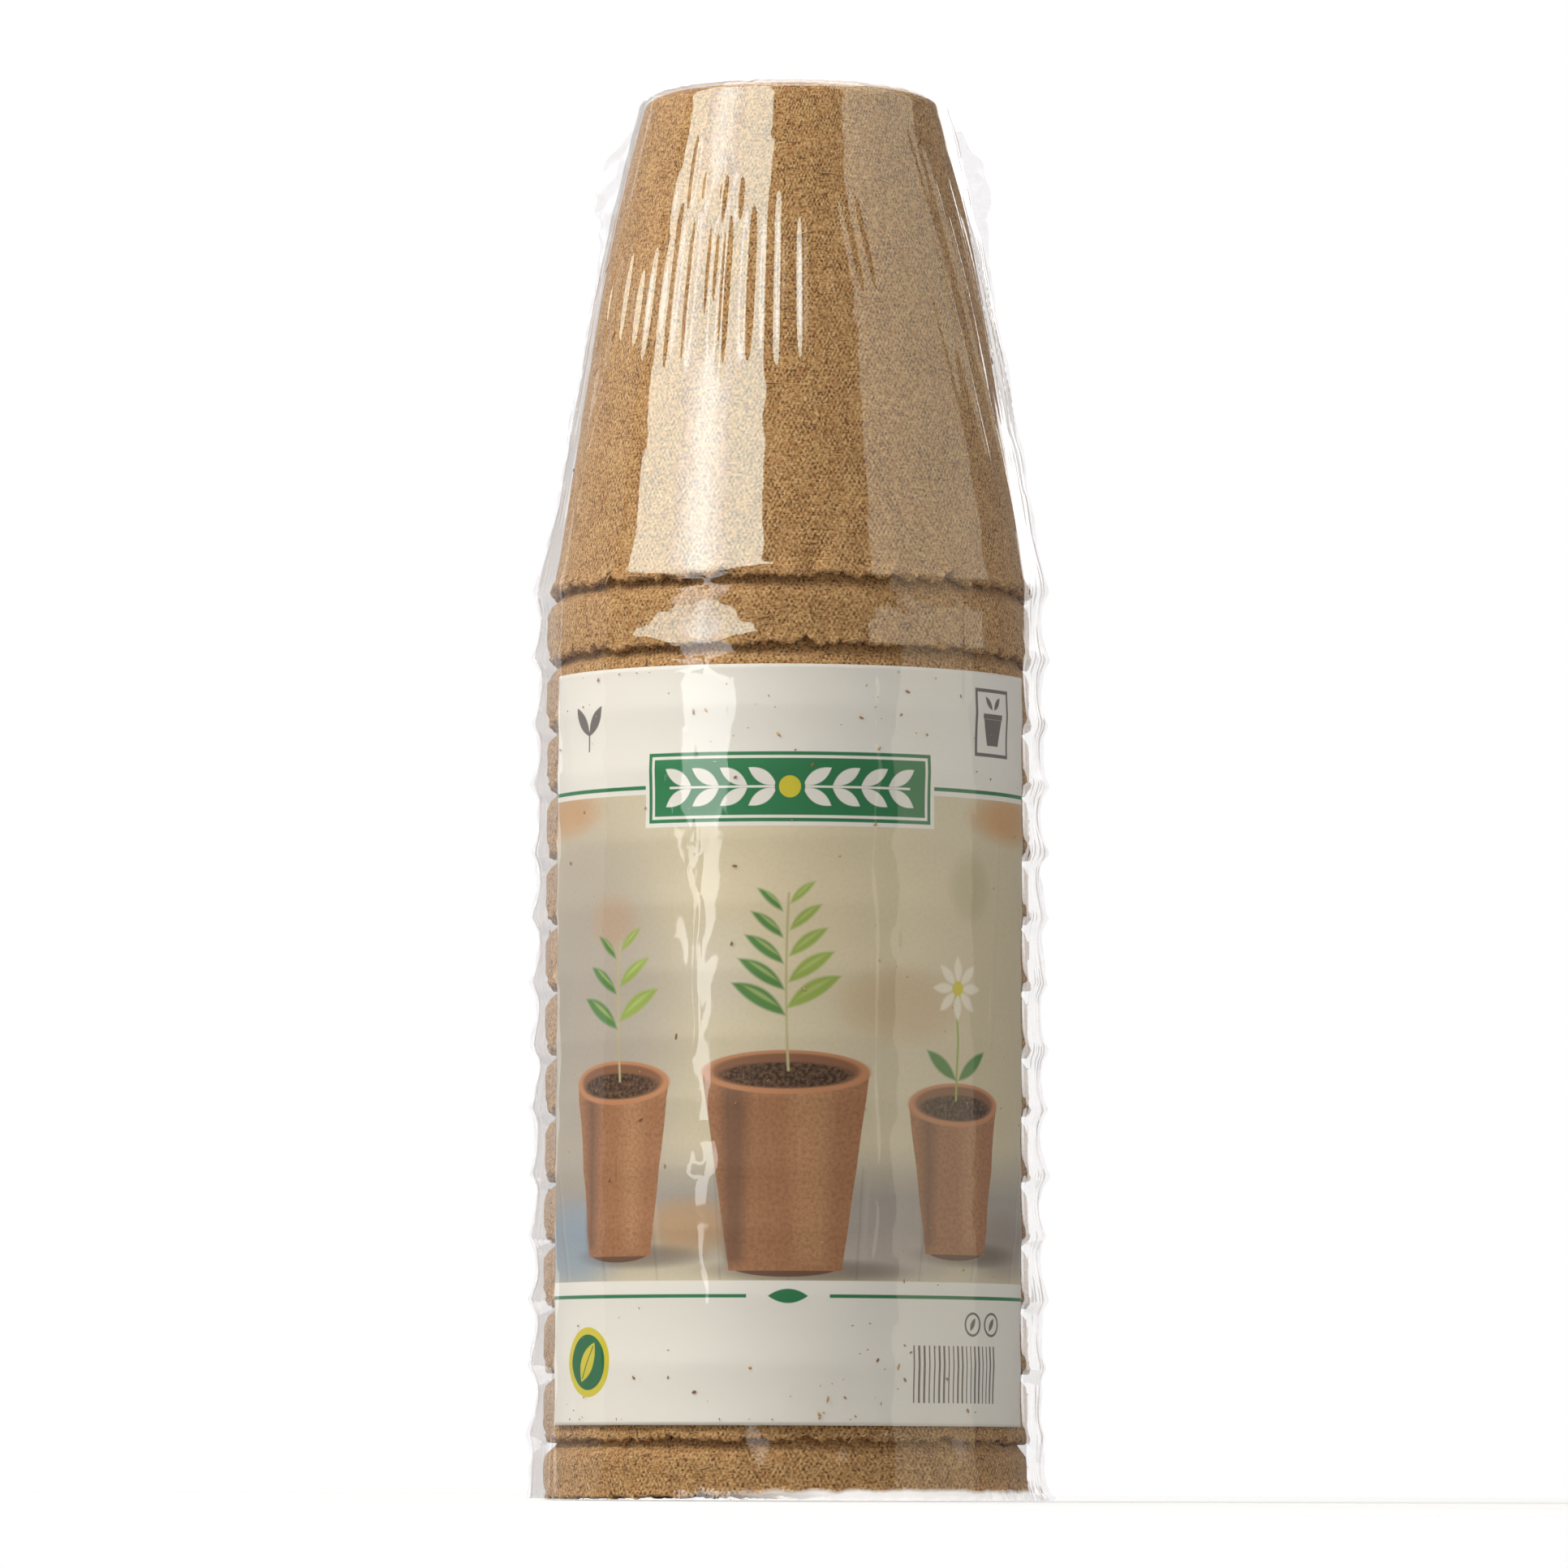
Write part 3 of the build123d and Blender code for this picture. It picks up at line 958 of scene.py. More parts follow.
@dataclass
class PulpPot:
    """One moulded pot, mouth down, with its torn felted lip.

    Args:
        number: Its place in the stack, 1 at the top.
        mouth: Height of its mouth.
        shown: How much of its wall shows below the pot above, or 0 on the top pot.
    """

    number: int
    mouth: float
    shown: float
    tall: float = 85.0
    wall: float = 1.4
    mouth_radius: float = 40.4
    straight_height: float = 45.0
    straight_radius: float = 33.5
    base_radius: float = 24.9
    rounding: float = 2.6
    drain_radius: float = 3.5
    lip_height: float = 2.7
    lip_bulge: float = 0.75
    swollen_radius: float = 40.7
    leaning: float = 0.7
    band: float = 13.0
    band_row: float = 1.6
    first_row: float = 0.28
    row_growth: float = 1.26
    ledge_rows: tuple[float, ...] = (2.3, 1.7, 1.2, 0.8, 0.5)
    torn_hang: float = 0.55
    ragged_hang: float = 0.46
    hang_lift: float = 0.15
    hang_reach: float = 7.0
    edge_rough: float = 0.30
    edge_lumps: float = 0.18
    edge_curl: float = 0.30
    edge_reach: float = 4.2
    edge_limits: tuple[float, float] = (-0.6, 0.26)
    wall_lumps: float = 0.09

    def __post_init__(self) -> None:
        """Works out the wall's curve and this pot's own noise."""
        self.slope = math.atan((self.mouth_radius - self.straight_radius) / self.straight_height)
        across = self.straight_radius - self.base_radius
        up = self.tall - self.straight_height
        self.arc = (across**2 + up**2) / (2 * (across * math.cos(self.slope) - up * math.sin(self.slope)))
        self.arc_x = self.straight_radius - self.arc * math.cos(self.slope)
        self.arc_z = self.straight_height - self.arc * math.sin(self.slope)
        self.is_top = self.number == 1
        self.is_lowest = self.number == POT_COUNT
        self.torn = SurfaceNoise(100 + self.number, (9, 60), LEVEL, 30)
        self.ragged = SurfaceNoise(200 + self.number, (60, 230), (1.2, 5.0), 36)
        self.lumps = SurfaceNoise(300 + self.number, (12, 70), (4.0, 14.0), 30)

    def wall_radius(self, height: float, depth: float = 0.0) -> float:
        """Radius of the outer wall at a height above the mouth, or of a surface that deep inside it.

        Args:
            height: Height above the mouth.
            depth: How deep the surface is in the wall.

        Returns:
            The radius at that height.
        """
        if height <= self.arc_z + (self.arc - depth) * math.sin(self.slope):
            return self.mouth_radius - height * math.tan(self.slope) - depth / math.cos(self.slope)
        reach = self.arc - depth
        return self.arc_x + reach * math.cos(math.asin((height - self.arc_z) / reach))

    def lip(self, height: float) -> float:
        """How far the lip stands out past the wall at a height above the mouth."""
        turned_in = 0.30 * max(0.0, 1 - height / 0.5) ** 2
        return self.lip_bulge * float(1 - smooth(height / self.lip_height)) - turned_in

    def skin(self, depth: float) -> list[tuple[float, float]]:
        """Points of one face of the pot, from the mouth up the wall and in to the drain hole.

        Args:
            depth: How deep the face is in the wall, 0 for the outer one.

        Returns:
            Points of radius and height.
        """
        rows, height, gap = [0.0], 0.0, self.first_row
        coarse = 2.4 if self.is_top and depth == 0 else 8.0
        corner = self.tall - self.rounding
        while height + gap < corner - 0.5 * coarse:
            height += gap
            rows.append(height)
            gap = min(gap * self.row_growth, self.band_row if height < self.band and depth == 0 else coarse)
        if self.shown and depth == 0:
            rows = sorted(rows + [self.shown - step for step in self.ledge_rows])
        points = [(self.wall_radius(row, depth) + (0 if depth else self.lip(row)), row) for row in rows]
        tilt = math.asin((corner - self.arc_z) / (self.arc - self.rounding))
        centre = self.wall_radius(corner, self.rounding)
        reach = self.rounding - depth
        for step in range(6):
            turn = tilt + (math.pi / 2 - tilt) * step / 5
            points.append((centre + reach * math.cos(turn), corner + reach * math.sin(turn)))
        rings = 8 if self.is_top else 3
        for step in range(1, rings + 1):
            points.append((centre + (self.drain_radius - centre) * step / rings, self.tall - depth))
        return points

    def build(self, finish: bpy.types.Material) -> bpy.types.Object:
        """Builds the pot.

        Args:
            finish: The piece's material.

        Returns:
            The piece.
        """
        name = f"pot_{self.number:02d}"
        profile = self.skin(0) + self.skin(self.wall)[::-1]
        bm = spun(profile, 600 if self.is_top else 480, closed=True)
        bmesh.ops.recalc_face_normals(bm, faces=bm.faces)
        azimuth, radius, height = to_ring(read_points(bm))
        outer = np.interp(height, *self.middle_wall()) < radius
        radius = radius + outer * self.edge(azimuth, height)
        reach = self.tall if self.is_top else 9.0
        skin = smooth(height / 2.0) * smooth((reach - height) / 4.0)
        radius = radius + outer * skin * self.wall_lumps * (self.lumps.at(azimuth, height) - 0.3)
        if self.shown:
            radius = radius + outer * self.swelling(azimuth, height)
        height = height + np.clip(1 - height / self.hang_reach, 0, 1) ** 2 * self.hang(azimuth)
        write_points(bm, from_ring(azimuth, radius, height + self.mouth))
        mesh = to_mesh(name + "_pulp", bm)
        return finish_piece(name + "_pulp", mesh, finish, self.body(), "peat_pulp", name)

    def hang(self, azimuth: np.ndarray) -> np.ndarray:
        """How far up the torn edge is, with its notches, and higher at the lowest pot's front and right.

        Args:
            azimuth: Azimuth of each point.

        Returns:
            The height that is added at the mouth.
        """
        hang = self.torn_hang * self.torn.at(azimuth, 0.0) + self.ragged_hang * self.ragged.at(azimuth, 0.0)
        notch = smooth((self.torn.at(azimuth + 1.0, 0.0) - 0.55) / 0.5)
        hang = hang - self.hang_lift + notch
        if self.is_lowest:
            rise = smooth((np.sin(azimuth + 0.25) + 0.75) / 1.5) * np.cos(azimuth / 2)
            hang = np.maximum(0.50 * hang + 0.35 + rise, 0.0)
        return hang

    def edge(self, azimuth: np.ndarray, height: np.ndarray) -> np.ndarray:
        """How far the felted edge stands out or curls in at each point.

        Args:
            azimuth: Azimuth of each point.
            height: Height of each point.

        Returns:
            The distance outwards.
        """
        rough = self.edge_rough * self.ragged.at(azimuth, height)
        rough += self.edge_lumps * self.lumps.at(azimuth, height)
        curl = self.edge_curl * self.torn.at(azimuth + 2.0, 0.0) - 0.1
        return np.clip(1 - height / self.edge_reach, 0, 1) * np.clip(rough + curl, *self.edge_limits)

    def swelling(self, azimuth: np.ndarray, height: np.ndarray) -> np.ndarray:
        """How far the wall bulges under the pot above, most of all at the left side.

        Args:
            azimuth: Azimuth of each point.
            height: Height of each point.

        Returns:
            The distance outwards.
        """
        pressed = smooth((height - 0.5) / 2.0) * smooth((self.shown - 0.4 - height) / 3.2)
        own_wall = self.mouth_radius - height * math.tan(self.slope)
        swollen = self.swollen_radius + 0.12 * self.torn.at(azimuth, 0.0)
        swollen = swollen + self.leaning * smooth((-np.sin(azimuth) - 0.975) / 0.024)
        return pressed * np.clip(swollen - own_wall, 0, None)

    def middle_wall(self) -> tuple[list[float], list[float]]:
        """Heights and radii of the surface half way through the wall, rising."""
        rows = [self.tall * step / 40 for step in range(39)]
        return rows + [self.tall], [self.wall_radius(row, self.wall / 2) for row in rows] + [0.0]

    def body(self) -> str:
        """Name of the body that the pot is or belongs to."""
        return "lowest_pot" if self.is_lowest else f"pot_{self.number:02d}"


@dataclass
class LooseFibres:
    """Straws and bark fibres that stand off a pot's lip and lie on its wall.

    Args:
        pot: The pot they belong to.
        count: How many there are.
    """

    pot: PulpPot
    count: int = 46
    thickness: float = 0.055
    straw_thickness: float = 0.14
    longest: float = 3.6
    lift: float = 0.12
    lip_share: float = 0.6
    level_share: float = 0.6

    def build(self, finish: bpy.types.Material) -> bpy.types.Object:
        """Builds all the pot's fibres as one piece.

        Args:
            finish: The piece's material.

        Returns:
            The piece.
        """
        rng = np.random.default_rng(700 + self.pot.number)
        curve = bpy.data.curves.new("fibres", "CURVE")
        curve.dimensions = "3D"
        curve.bevel_depth = self.thickness
        curve.bevel_resolution = 0
        curve.use_fill_caps = True
        for _ in range(self.count):
            self.strand(curve, rng)
        holder = bpy.data.objects.new("fibres", curve)
        mesh = bpy.data.meshes.new_from_object(holder)
        bpy.data.objects.remove(holder)
        name = f"pot_{self.pot.number:02d}_fibres"
        mesh.name = name
        return finish_piece(name, mesh, finish, self.pot.body(), "peat_pulp")

    def strand(self, curve: bpy.types.Curve, rng: np.random.Generator) -> None:
        """Adds one bent fibre to the curve, near the lip or on the wall above it.

        Args:
            curve: The curve that holds the fibres.
            rng: Source of the random draws.
        """
        azimuth = rng.uniform(-np.pi, np.pi)
        on_lip = rng.random() < self.lip_share
        reach = 0.8 if on_lip else (76.0 if self.pot.is_top else 8.0)
        height = rng.uniform(0.25 if on_lip else 2.5, reach)
        length = rng.uniform(0.3, 1.0) * self.longest
        turn = rng.uniform(-0.5, 0.5) if rng.random() < self.level_share else rng.uniform(-1.5, 1.5)
        curl = rng.uniform(-0.5, 0.5)
        spline = curve.splines.new("POLY")
        points = 5
        spline.points.add(points - 1)
        width = rng.choice((1.0, 1.0, self.straw_thickness / self.thickness))
        for step, point in enumerate(spline.points):
            share = step / (points - 1) - 0.5
            along = share * length
            up = height + along * math.sin(turn) + curl * share * share
            up = max(up, 0.15 if self.pot.is_lowest else -0.6)
            radius = self.pot.wall_radius(max(up, 0.0)) + max(0.0, self.pot.lip(max(up, 0.0)))
            if self.pot.shown:
                radius = max(radius, self.pot.swollen_radius)
            radius += self.lift * rng.uniform(0.2, 1.0)
            angle = azimuth + along * math.cos(turn) / radius
            x, y = radius * math.sin(angle), -radius * math.cos(angle)
            point.co = (x, y, up + self.pot.mouth, 1.0)
            point.radius = width * (1 - 1.3 * share * share)


@dataclass
class PaperLabel:
    """The printed label, bent round the front and drawn in a little between the lips.

    Args:
        bottom: Height of its lower edge.
        top: Height of its upper edge.
        radius: Distance of its inner face from the axis.
        lips: Heights of the lips it lies on, rising.
    """

    bottom: float
    top: float
    radius: float
    lips: list[float]
    width: float = 104.0
    thickness: float = 0.12
    drawn_in: float = 0.20
    wave: float = 0.07
    columns: int = 150
    rows: int = 180

    def half_turn(self) -> float:
        """Half of the angle that the label covers."""
        return self.width / self.radius / 2

    def build(self, finish: bpy.types.Material) -> bpy.types.Object:
        """Builds the label as a grid with its own UV map, bends it and gives it its thickness.

        Args:
            finish: The piece's material.

        Returns:
            The piece.
        """
        bm = bmesh.new()
        bmesh.ops.create_grid(bm, x_segments=self.columns, y_segments=self.rows, size=0.5)
        layer = bm.loops.layers.uv.new("flat")
        for face in bm.faces:
            for loop in face.loops:
                loop[layer].uv = (loop.vert.co.x + 0.5, loop.vert.co.y + 0.5)
        flat = read_points(bm)
        azimuth = flat[:, 0] * self.width / self.radius
        height = self.bottom + (flat[:, 1] + 0.5) * (self.top - self.bottom)
        slow = SurfaceNoise(41, (5, 16), (24.0, 70.0))
        radius = self.radius + self.wave * (slow.at(azimuth, height) - 0.2)
        radius -= self.drawn_in * between(self.lips, height)
        curl = smooth((np.abs(azimuth) / self.half_turn() - 0.93) / 0.07)
        inward = SurfaceNoise(43, (1, 3), (30.0, 90.0)).at(0 * azimuth, height)
        azimuth = azimuth - np.sign(azimuth) * curl * 0.012 * (1 + inward)
        write_points(bm, from_ring(azimuth, radius, height))
        face_outwards(bm)
        mesh = to_mesh("label_print", bm)
        piece = finish_piece("label_print", mesh, finish, "film", "label_paper", "label_sheet")
        sheet = piece.modifiers.new("paper", "SOLIDIFY")
        sheet.thickness = self.thickness * MM
        sheet.offset = 1.0
        return piece


def between(levels: list[float], height: np.ndarray) -> np.ndarray:
    """Share of the way in between two levels, 0 on each and 1 half way, and 0 outside them.

    Args:
        levels: The levels, rising.
        height: Height of each point.

    Returns:
        The share at each point.
    """
    order = np.clip(np.searchsorted(levels, height), 1, len(levels) - 1)
    low, high = np.array(levels)[order - 1], np.array(levels)[order]
    return np.sin(np.pi * np.clip((height - low) / (high - low), 0, 1))


@dataclass
class LabelCrumbs:
    """Crumbs of pulp caught between the label and the film."""

    label: PaperLabel
    count: int = 150
    thickness: float = 0.05
    least: float = 0.09
    growth: float = 0.2
    reach: float = 0.96
    clusters: tuple[tuple[float, float, float], ...] = (
        (-58.0, 134.0, 8.0), (-8.0, 128.0, 9.0), (24.0, 130.0, 7.0), (14.0, 16.0, 6.0), (-30.0, 16.0, 12.0),
        (26.0, 22.0, 6.0))

    def build(self, finish: bpy.types.Material) -> bpy.types.Object:
        """Builds all the crumbs as one piece of small flattened lumps.

        Args:
            finish: The piece's material.

        Returns:
            The piece.
        """
        rng = np.random.default_rng(77)
        bm = bmesh.new()
        outside = self.label.radius + self.label.thickness + 0.03
        for number in range(self.count):
            if number % 2:
                azimuth_deg, height, spread = self.clusters[rng.integers(len(self.clusters))]
                azimuth = math.radians(azimuth_deg) + rng.normal() * spread / outside
                height += rng.normal() * spread / 2
            else:
                azimuth = rng.uniform(-1, 1) * self.label.half_turn()
                height = rng.uniform(self.label.bottom, self.label.top)
            limit = self.reach * self.label.half_turn()
            azimuth = float(np.clip(azimuth, -limit, limit))
            height = float(np.clip(height, self.label.bottom + 1, self.label.top - 1))
            size = self.least + self.growth * rng.random() ** 3
            shape = Matrix.Diagonal((size * rng.uniform(1.0, 3.2), self.thickness, size, 1.0))
            turned = Matrix.Rotation(rng.uniform(0, math.pi), 4, "Y")
            moved = Matrix.Translation((0.0, -outside, height))
            around = Matrix.Rotation(azimuth, 4, "Z")
            bmesh.ops.create_icosphere(bm, subdivisions=1, radius=1.0, matrix=around @ moved @ turned @ shape)
        return finish_piece("label_crumbs", to_mesh("label_crumbs", bm), finish, "film", "peat_pulp")


@dataclass(frozen=True)
class Flutes:
    """A group of long pleats, pointed at both ends, that shrinking leaves on the tapered pot.

    Args:
        azimuth_deg: From where to where they stand.
        height: Lowest and highest middle of a pleat.
        spacing: Distance between neighbours.
        length: Shortest and longest pleat.
        depth: How far they stand out.
        width: Half width of one pleat.
        seed: Seed of their places.
        lean_deg: How far they lean, in degrees of azimuth for each millimetre up.
    """

    azimuth_deg: tuple[float, float]
    height: tuple[float, float]
    spacing: float
    length: tuple[float, float]
    depth: float
    width: float
    seed: int
    lean_deg: float = 0.0
    middle_radius: float = 31.0

    def at(self, azimuth: np.ndarray, radius: np.ndarray, height: np.ndarray) -> np.ndarray:
        """How far the film stands out at each point.

        Args:
            azimuth: Azimuth of each point.
            radius: Distance of each point from the axis.
            height: Height of each point.

        Returns:
            The distance outwards.
        """
        rng = np.random.default_rng(self.seed)
        total = np.zeros_like(azimuth)
        low, high = np.radians(self.azimuth_deg)
        count = int((high - low) * self.middle_radius / self.spacing)
        for number in range(count):
            centre = low + (high - low) * (number + 0.5 + rng.uniform(-0.16, 0.16)) / count
            length = rng.uniform(*self.length)
            up = height - rng.uniform(*self.height)
            share = up / length + 0.5
            width = self.width * rng.uniform(0.75, 1.3)
            off = (azimuth - centre - math.radians(self.lean_deg) * up) * radius / width
            spindle = np.sin(np.pi * np.clip(share, 0, 1)) ** 0.8
            total += self.depth * rng.uniform(0.7, 1.2) * spindle * np.exp(-(off**2))
        return total


@dataclass(frozen=True)
class Crease:
    """One sharp fold in the film, from one (azimuth in degrees, height) to another.

    Args:
        start: Where it starts.
        end: Where it ends.
        depth: How far it stands out.
        width: Half width of its ridge.
    """

    start: tuple[float, float]
    end: tuple[float, float]
    depth: float = 0.14
    width: float = 0.55
    film_radius: float = 41.8

    def at(self, azimuth: np.ndarray, radius: np.ndarray, height: np.ndarray) -> np.ndarray:
        """How far the film stands out at each point.

        Args:
            azimuth: Azimuth of each point.
            radius: Distance of each point from the axis.
            height: Height of each point.

        Returns:
            The distance outwards.
        """
        across = azimuth * radius
        x0, x1 = (math.radians(point[0]) * self.film_radius for point in (self.start, self.end))
        run = (x1 - x0, self.end[1] - self.start[1])
        length = math.hypot(*run)
        along = ((across - x0) * run[0] + (height - self.start[1]) * run[1]) / length**2
        off = ((across - x0) * run[1] - (height - self.start[1]) * run[0]) / length
        return self.depth * np.sin(np.pi * np.clip(along, 0, 1)) ** 0.5 * np.exp(-((off / self.width) ** 2))


@dataclass
class FilmSleeve:
    """The shrink film as two half sheets, drawn over the lips and pleated on the tapered top pot.

    Args:
        top_pot: The pot it is shrunk on to.
        label: The label under it.
        lips: Heights of the lips, rising.
        bottom: Height of its lower edge.
        top: Height of its highest point; not used.
    """

    top_pot: PulpPot
    label: PaperLabel
    lips: list[float]
    bottom: float
    top: float
    lip_radius: float = 41.95
    top_lip_radius: float = 41.68
    foot_radius: float = 42.03
    waist: float = 0.66
    label_gap: float = 0.20
    wall_gap: float = 0.35
    mouth_gap: float = 0.95
    shoulder: float = 2.95
    tent: float = 1.72
    tent_top_share: float = 0.55
    left_crown_share: float = 0.45
    gather: float = 0.05
    gather_reach: float = 0.16
    slow_depth: float = 0.07
    calm_depth: float = 0.06
    wrinkle_depth: float = 0.016
    crown_wrinkle_depth: float = 0.008
    flare_height: float = 1.1
    ripple: float = 0.26
    row_step: float = 1.2
    bend_steps: int = 6
    rings: int = 12
    columns: int = 420

    def __post_init__(self) -> None:
        """Sets the film's noises, pleats and creases."""
        self.slow = SurfaceNoise(11, (5, 22), (22.0, 70.0))
        self.calm = SurfaceNoise(18, (3, 11), (40.0, 110.0))
        self.wrinkle = SurfaceNoise(12, (30, 90), (6.0, 18.0), 30)
        self.flare = SurfaceNoise(13, (90, 200), (1.2, 4.0), 30)
        self.gathers = SurfaceNoise(19, (70, 170), (14.0, 40.0), 30)
        self.wall_rows = np.linspace(0, self.top_pot.tall - self.top_pot.rounding, 60)
        self.wall_radii = np.array([self.top_pot.wall_radius(row) for row in self.wall_rows])
        crown = self.top_pot.mouth
        self.flutes = (
            Flutes((-70.0, -38.0), (crown + 46.0, crown + 49.0), 2.85, (17.0, 23.0), 0.46, 0.82, 21),
            Flutes((-38.0, 5.0), (crown + 47.0, crown + 52.0), 2.75, (26.0, 35.0), 0.42, 0.78, 29),
            Flutes((-44.0, -14.0), (crown + 64.0, crown + 70.0), 3.2, (8.0, 16.0), 0.30, 0.60, 22),
            Flutes((-82.0, -62.0), (crown + 14.0, crown + 22.0), 1.9, (8.0, 13.0), 0.26, 0.48, 23),
            Flutes((-88.0, -66.0), (crown + 38.0, crown + 62.0), 2.3, (16.0, 34.0), 0.36, 0.60, 24),
            Flutes((46.0, 88.0), (crown + 30.0, crown + 60.0), 1.9, (30.0, 52.0), 0.48, 0.55, 25, -0.30),
            Flutes((4.0, 36.0), (crown + 48.0, crown + 58.0), 2.4, (10.0, 24.0), 0.15, 0.50, 26, -0.28),
            Flutes((-67.0, -60.0), (crown + 27.0, crown + 31.0), 1.3, (7.0, 11.0), 0.20, 0.36, 33, 0.6),
            Flutes((100.0, 170.0), (crown + 34.0, crown + 60.0), 2.5, (16.0, 36.0), 0.38, 0.66, 27),
            Flutes((-170.0, -100.0), (crown + 30.0, crown + 62.0), 2.5, (16.0, 36.0), 0.38, 0.66, 28),
        )
        self.creases = [
            Crease((22.0, crown - 2.0), (40.0, crown - 11.5), 0.16, 0.5),
            Crease((43.5, crown - 1.0), (43.0, crown - 22.0), 0.16, 0.45),
            Crease((58.0, crown - 30.0), (52.0, crown - 96.0), 0.1, 0.6),
            Crease((-20.0, crown - 92.0), (-20.0, crown - 100.0), -0.15, 3.2),
        ]
        rng = np.random.default_rng(31)
        crackle = ((20.0, crown - 108.0, crown - 17.0), (-22.0, crown - 76.0, crown - 40.0))
        for start_deg, low, high in crackle:
            here, height = start_deg, high
            while height > low:
                there = start_deg + rng.normal() * 0.9
                step = rng.uniform(4.0, 9.0)
                depth = rng.uniform(0.08, 0.18)
                self.creases.append(Crease((here, height), (there, height - step), depth, 0.40))
                here, height = there, height - step * 0.92

    def round_radius(self, azimuth: np.ndarray, height: np.ndarray) -> np.ndarray:
        """Distance of the film from the axis before it is drawn out to the side seams.

        Args:
            azimuth: Azimuth of each point.
            height: Height of each point.

        Returns:
            The distance from the axis.
        """
        last = self.lips[-1]
        fade = smooth((height - self.lips[-2]) / (last - self.lips[-2]))
        bare = self.lip_radius + (self.top_lip_radius - self.lip_radius) * fade
        sides = smooth((self.label.half_turn() + 0.04 - np.abs(azimuth)) / 0.08)
        over_label_top = sides * ((height > self.lips[-3]) & (height <= self.lips[-2]))
        bare -= self.waist * self.drawn_in(height) * (1 - 0.7 * fade) * (1 - over_label_top)
        foot = np.clip((self.lips[1] - height) / (self.lips[1] - self.lips[0]), 0, 1)
        bare -= (self.lip_radius - self.foot_radius) * foot
        ends = smooth((self.label.top + 1.5 - height) / 3.0)
        over = self.label.radius + self.label.thickness + self.label_gap
        radius = bare + (over - bare) * sides * ends
        share = np.clip((height - last) / self.wall_rows[-1], 0, 1)
        crown = np.interp(height - last, self.wall_rows, self.wall_radii)
        crown = crown + self.wall_gap + self.mouth_gap * (1 - share) ** 2
        on_crown = smooth((height - last + 0.6) / 1.2)
        radius = radius + (crown - radius) * on_crown
        calmer = 1 - 0.6 * smooth(2 * foot)
        radius += self.slow_depth * (1 - on_crown) * calmer * self.slow.at(azimuth, height)
        radius += self.calm_depth * on_crown * self.calm.at(azimuth, height)
        wrinkled = self.wrinkle_depth + (self.crown_wrinkle_depth - self.wrinkle_depth) * on_crown
        radius += wrinkled * calmer * self.wrinkle.at(azimuth, height)
        at_seam = np.exp(-(((np.abs(azimuth) - np.pi / 2) / self.gather_reach) ** 2))
        radius += self.gather * at_seam * self.gathers.at(azimuth, height)
        for pleat in (*self.flutes, *self.creases):
            radius += pleat.at(azimuth, radius, height)
        low = np.exp(-(height - self.bottom) / self.flare_height)
        corner = 0.25 + 1.0 * smooth((np.sin(azimuth - 0.2) - 0.55) / 0.35)
        return radius + low * corner * (0.5 + 0.9 * np.abs(self.flare.at(azimuth, height)))

    def drawn_in(self, height: np.ndarray) -> np.ndarray:
        """How far the film is in towards the wall: most just below a lip, then out to the next one.

        Args:
            height: Height of each point.

        Returns:
            The share, from 0 to 1.
        """
        order = np.clip(np.searchsorted(self.lips, height), 2, len(self.lips) - 1)
        low, high = np.array(self.lips)[order - 1], np.array(self.lips)[order]
        share = np.clip((high - height) / (high - low), 0, 1)
        return smooth(share / 0.24) * (1 - share * share)

    def radius(self, azimuth: np.ndarray, height: np.ndarray) -> np.ndarray:
        """Distance of the film from the axis, with its flat tents out to the side seams.

        Args:
            azimuth: Azimuth of each point.
            height: Height of each point.

        Returns:
            The distance from the axis.
        """
        round_part = self.round_radius(azimuth, height)
        crown = np.clip((height - self.lips[-1]) / self.top_pot.tall, 0, 1)
        ripple = self.ripple * SurfaceNoise(14, (1, 2), (7.0, 20.0)).at(np.sign(azimuth), height)
        tip = self.tent * (1 - crown * (1 - self.tent_top_share)) * (1 - 0.35 * between(self.lips, height))
        tip = tip + ripple
        tip *= 1 - (1 - self.left_crown_share) * (azimuth < 0) * smooth(crown / 0.15)
        spread = np.arccos(round_part / (round_part + np.maximum(tip, 0.2)))
        off = np.abs(np.abs(azimuth) - np.pi / 2)
        return round_part / np.cos(np.clip(spread - off, 0, None))

    def profile(self) -> list[tuple[float, float]]:
        """Rows of the sheet, up the side, over the shoulder and in to the axis.

        Returns:
            Points of radius and height.
        """
        shoulder_base = self.lips[-1] + self.wall_rows[-1]
        rows = int((shoulder_base - self.bottom) / self.row_step)
        rise = (shoulder_base - self.bottom) / rows
        points = [(self.foot_radius, self.bottom + rise * row) for row in range(rows + 1)]
        for step in range(1, self.bend_steps + 1):
            turn = math.pi / 2 * step / self.bend_steps
            points.append((self.bend_centre() + self.shoulder * math.cos(turn),
                           shoulder_base + self.shoulder * math.sin(turn)))
        for step in range(1, self.rings + 1):
            points.append((self.bend_centre() * (1 - step / self.rings), shoulder_base + self.shoulder))
        return points

    def bend_centre(self) -> float:
        """Distance from the axis to the centre of the shoulder's bend."""
        return float(self.wall_radii[-1]) + self.wall_gap - self.shoulder

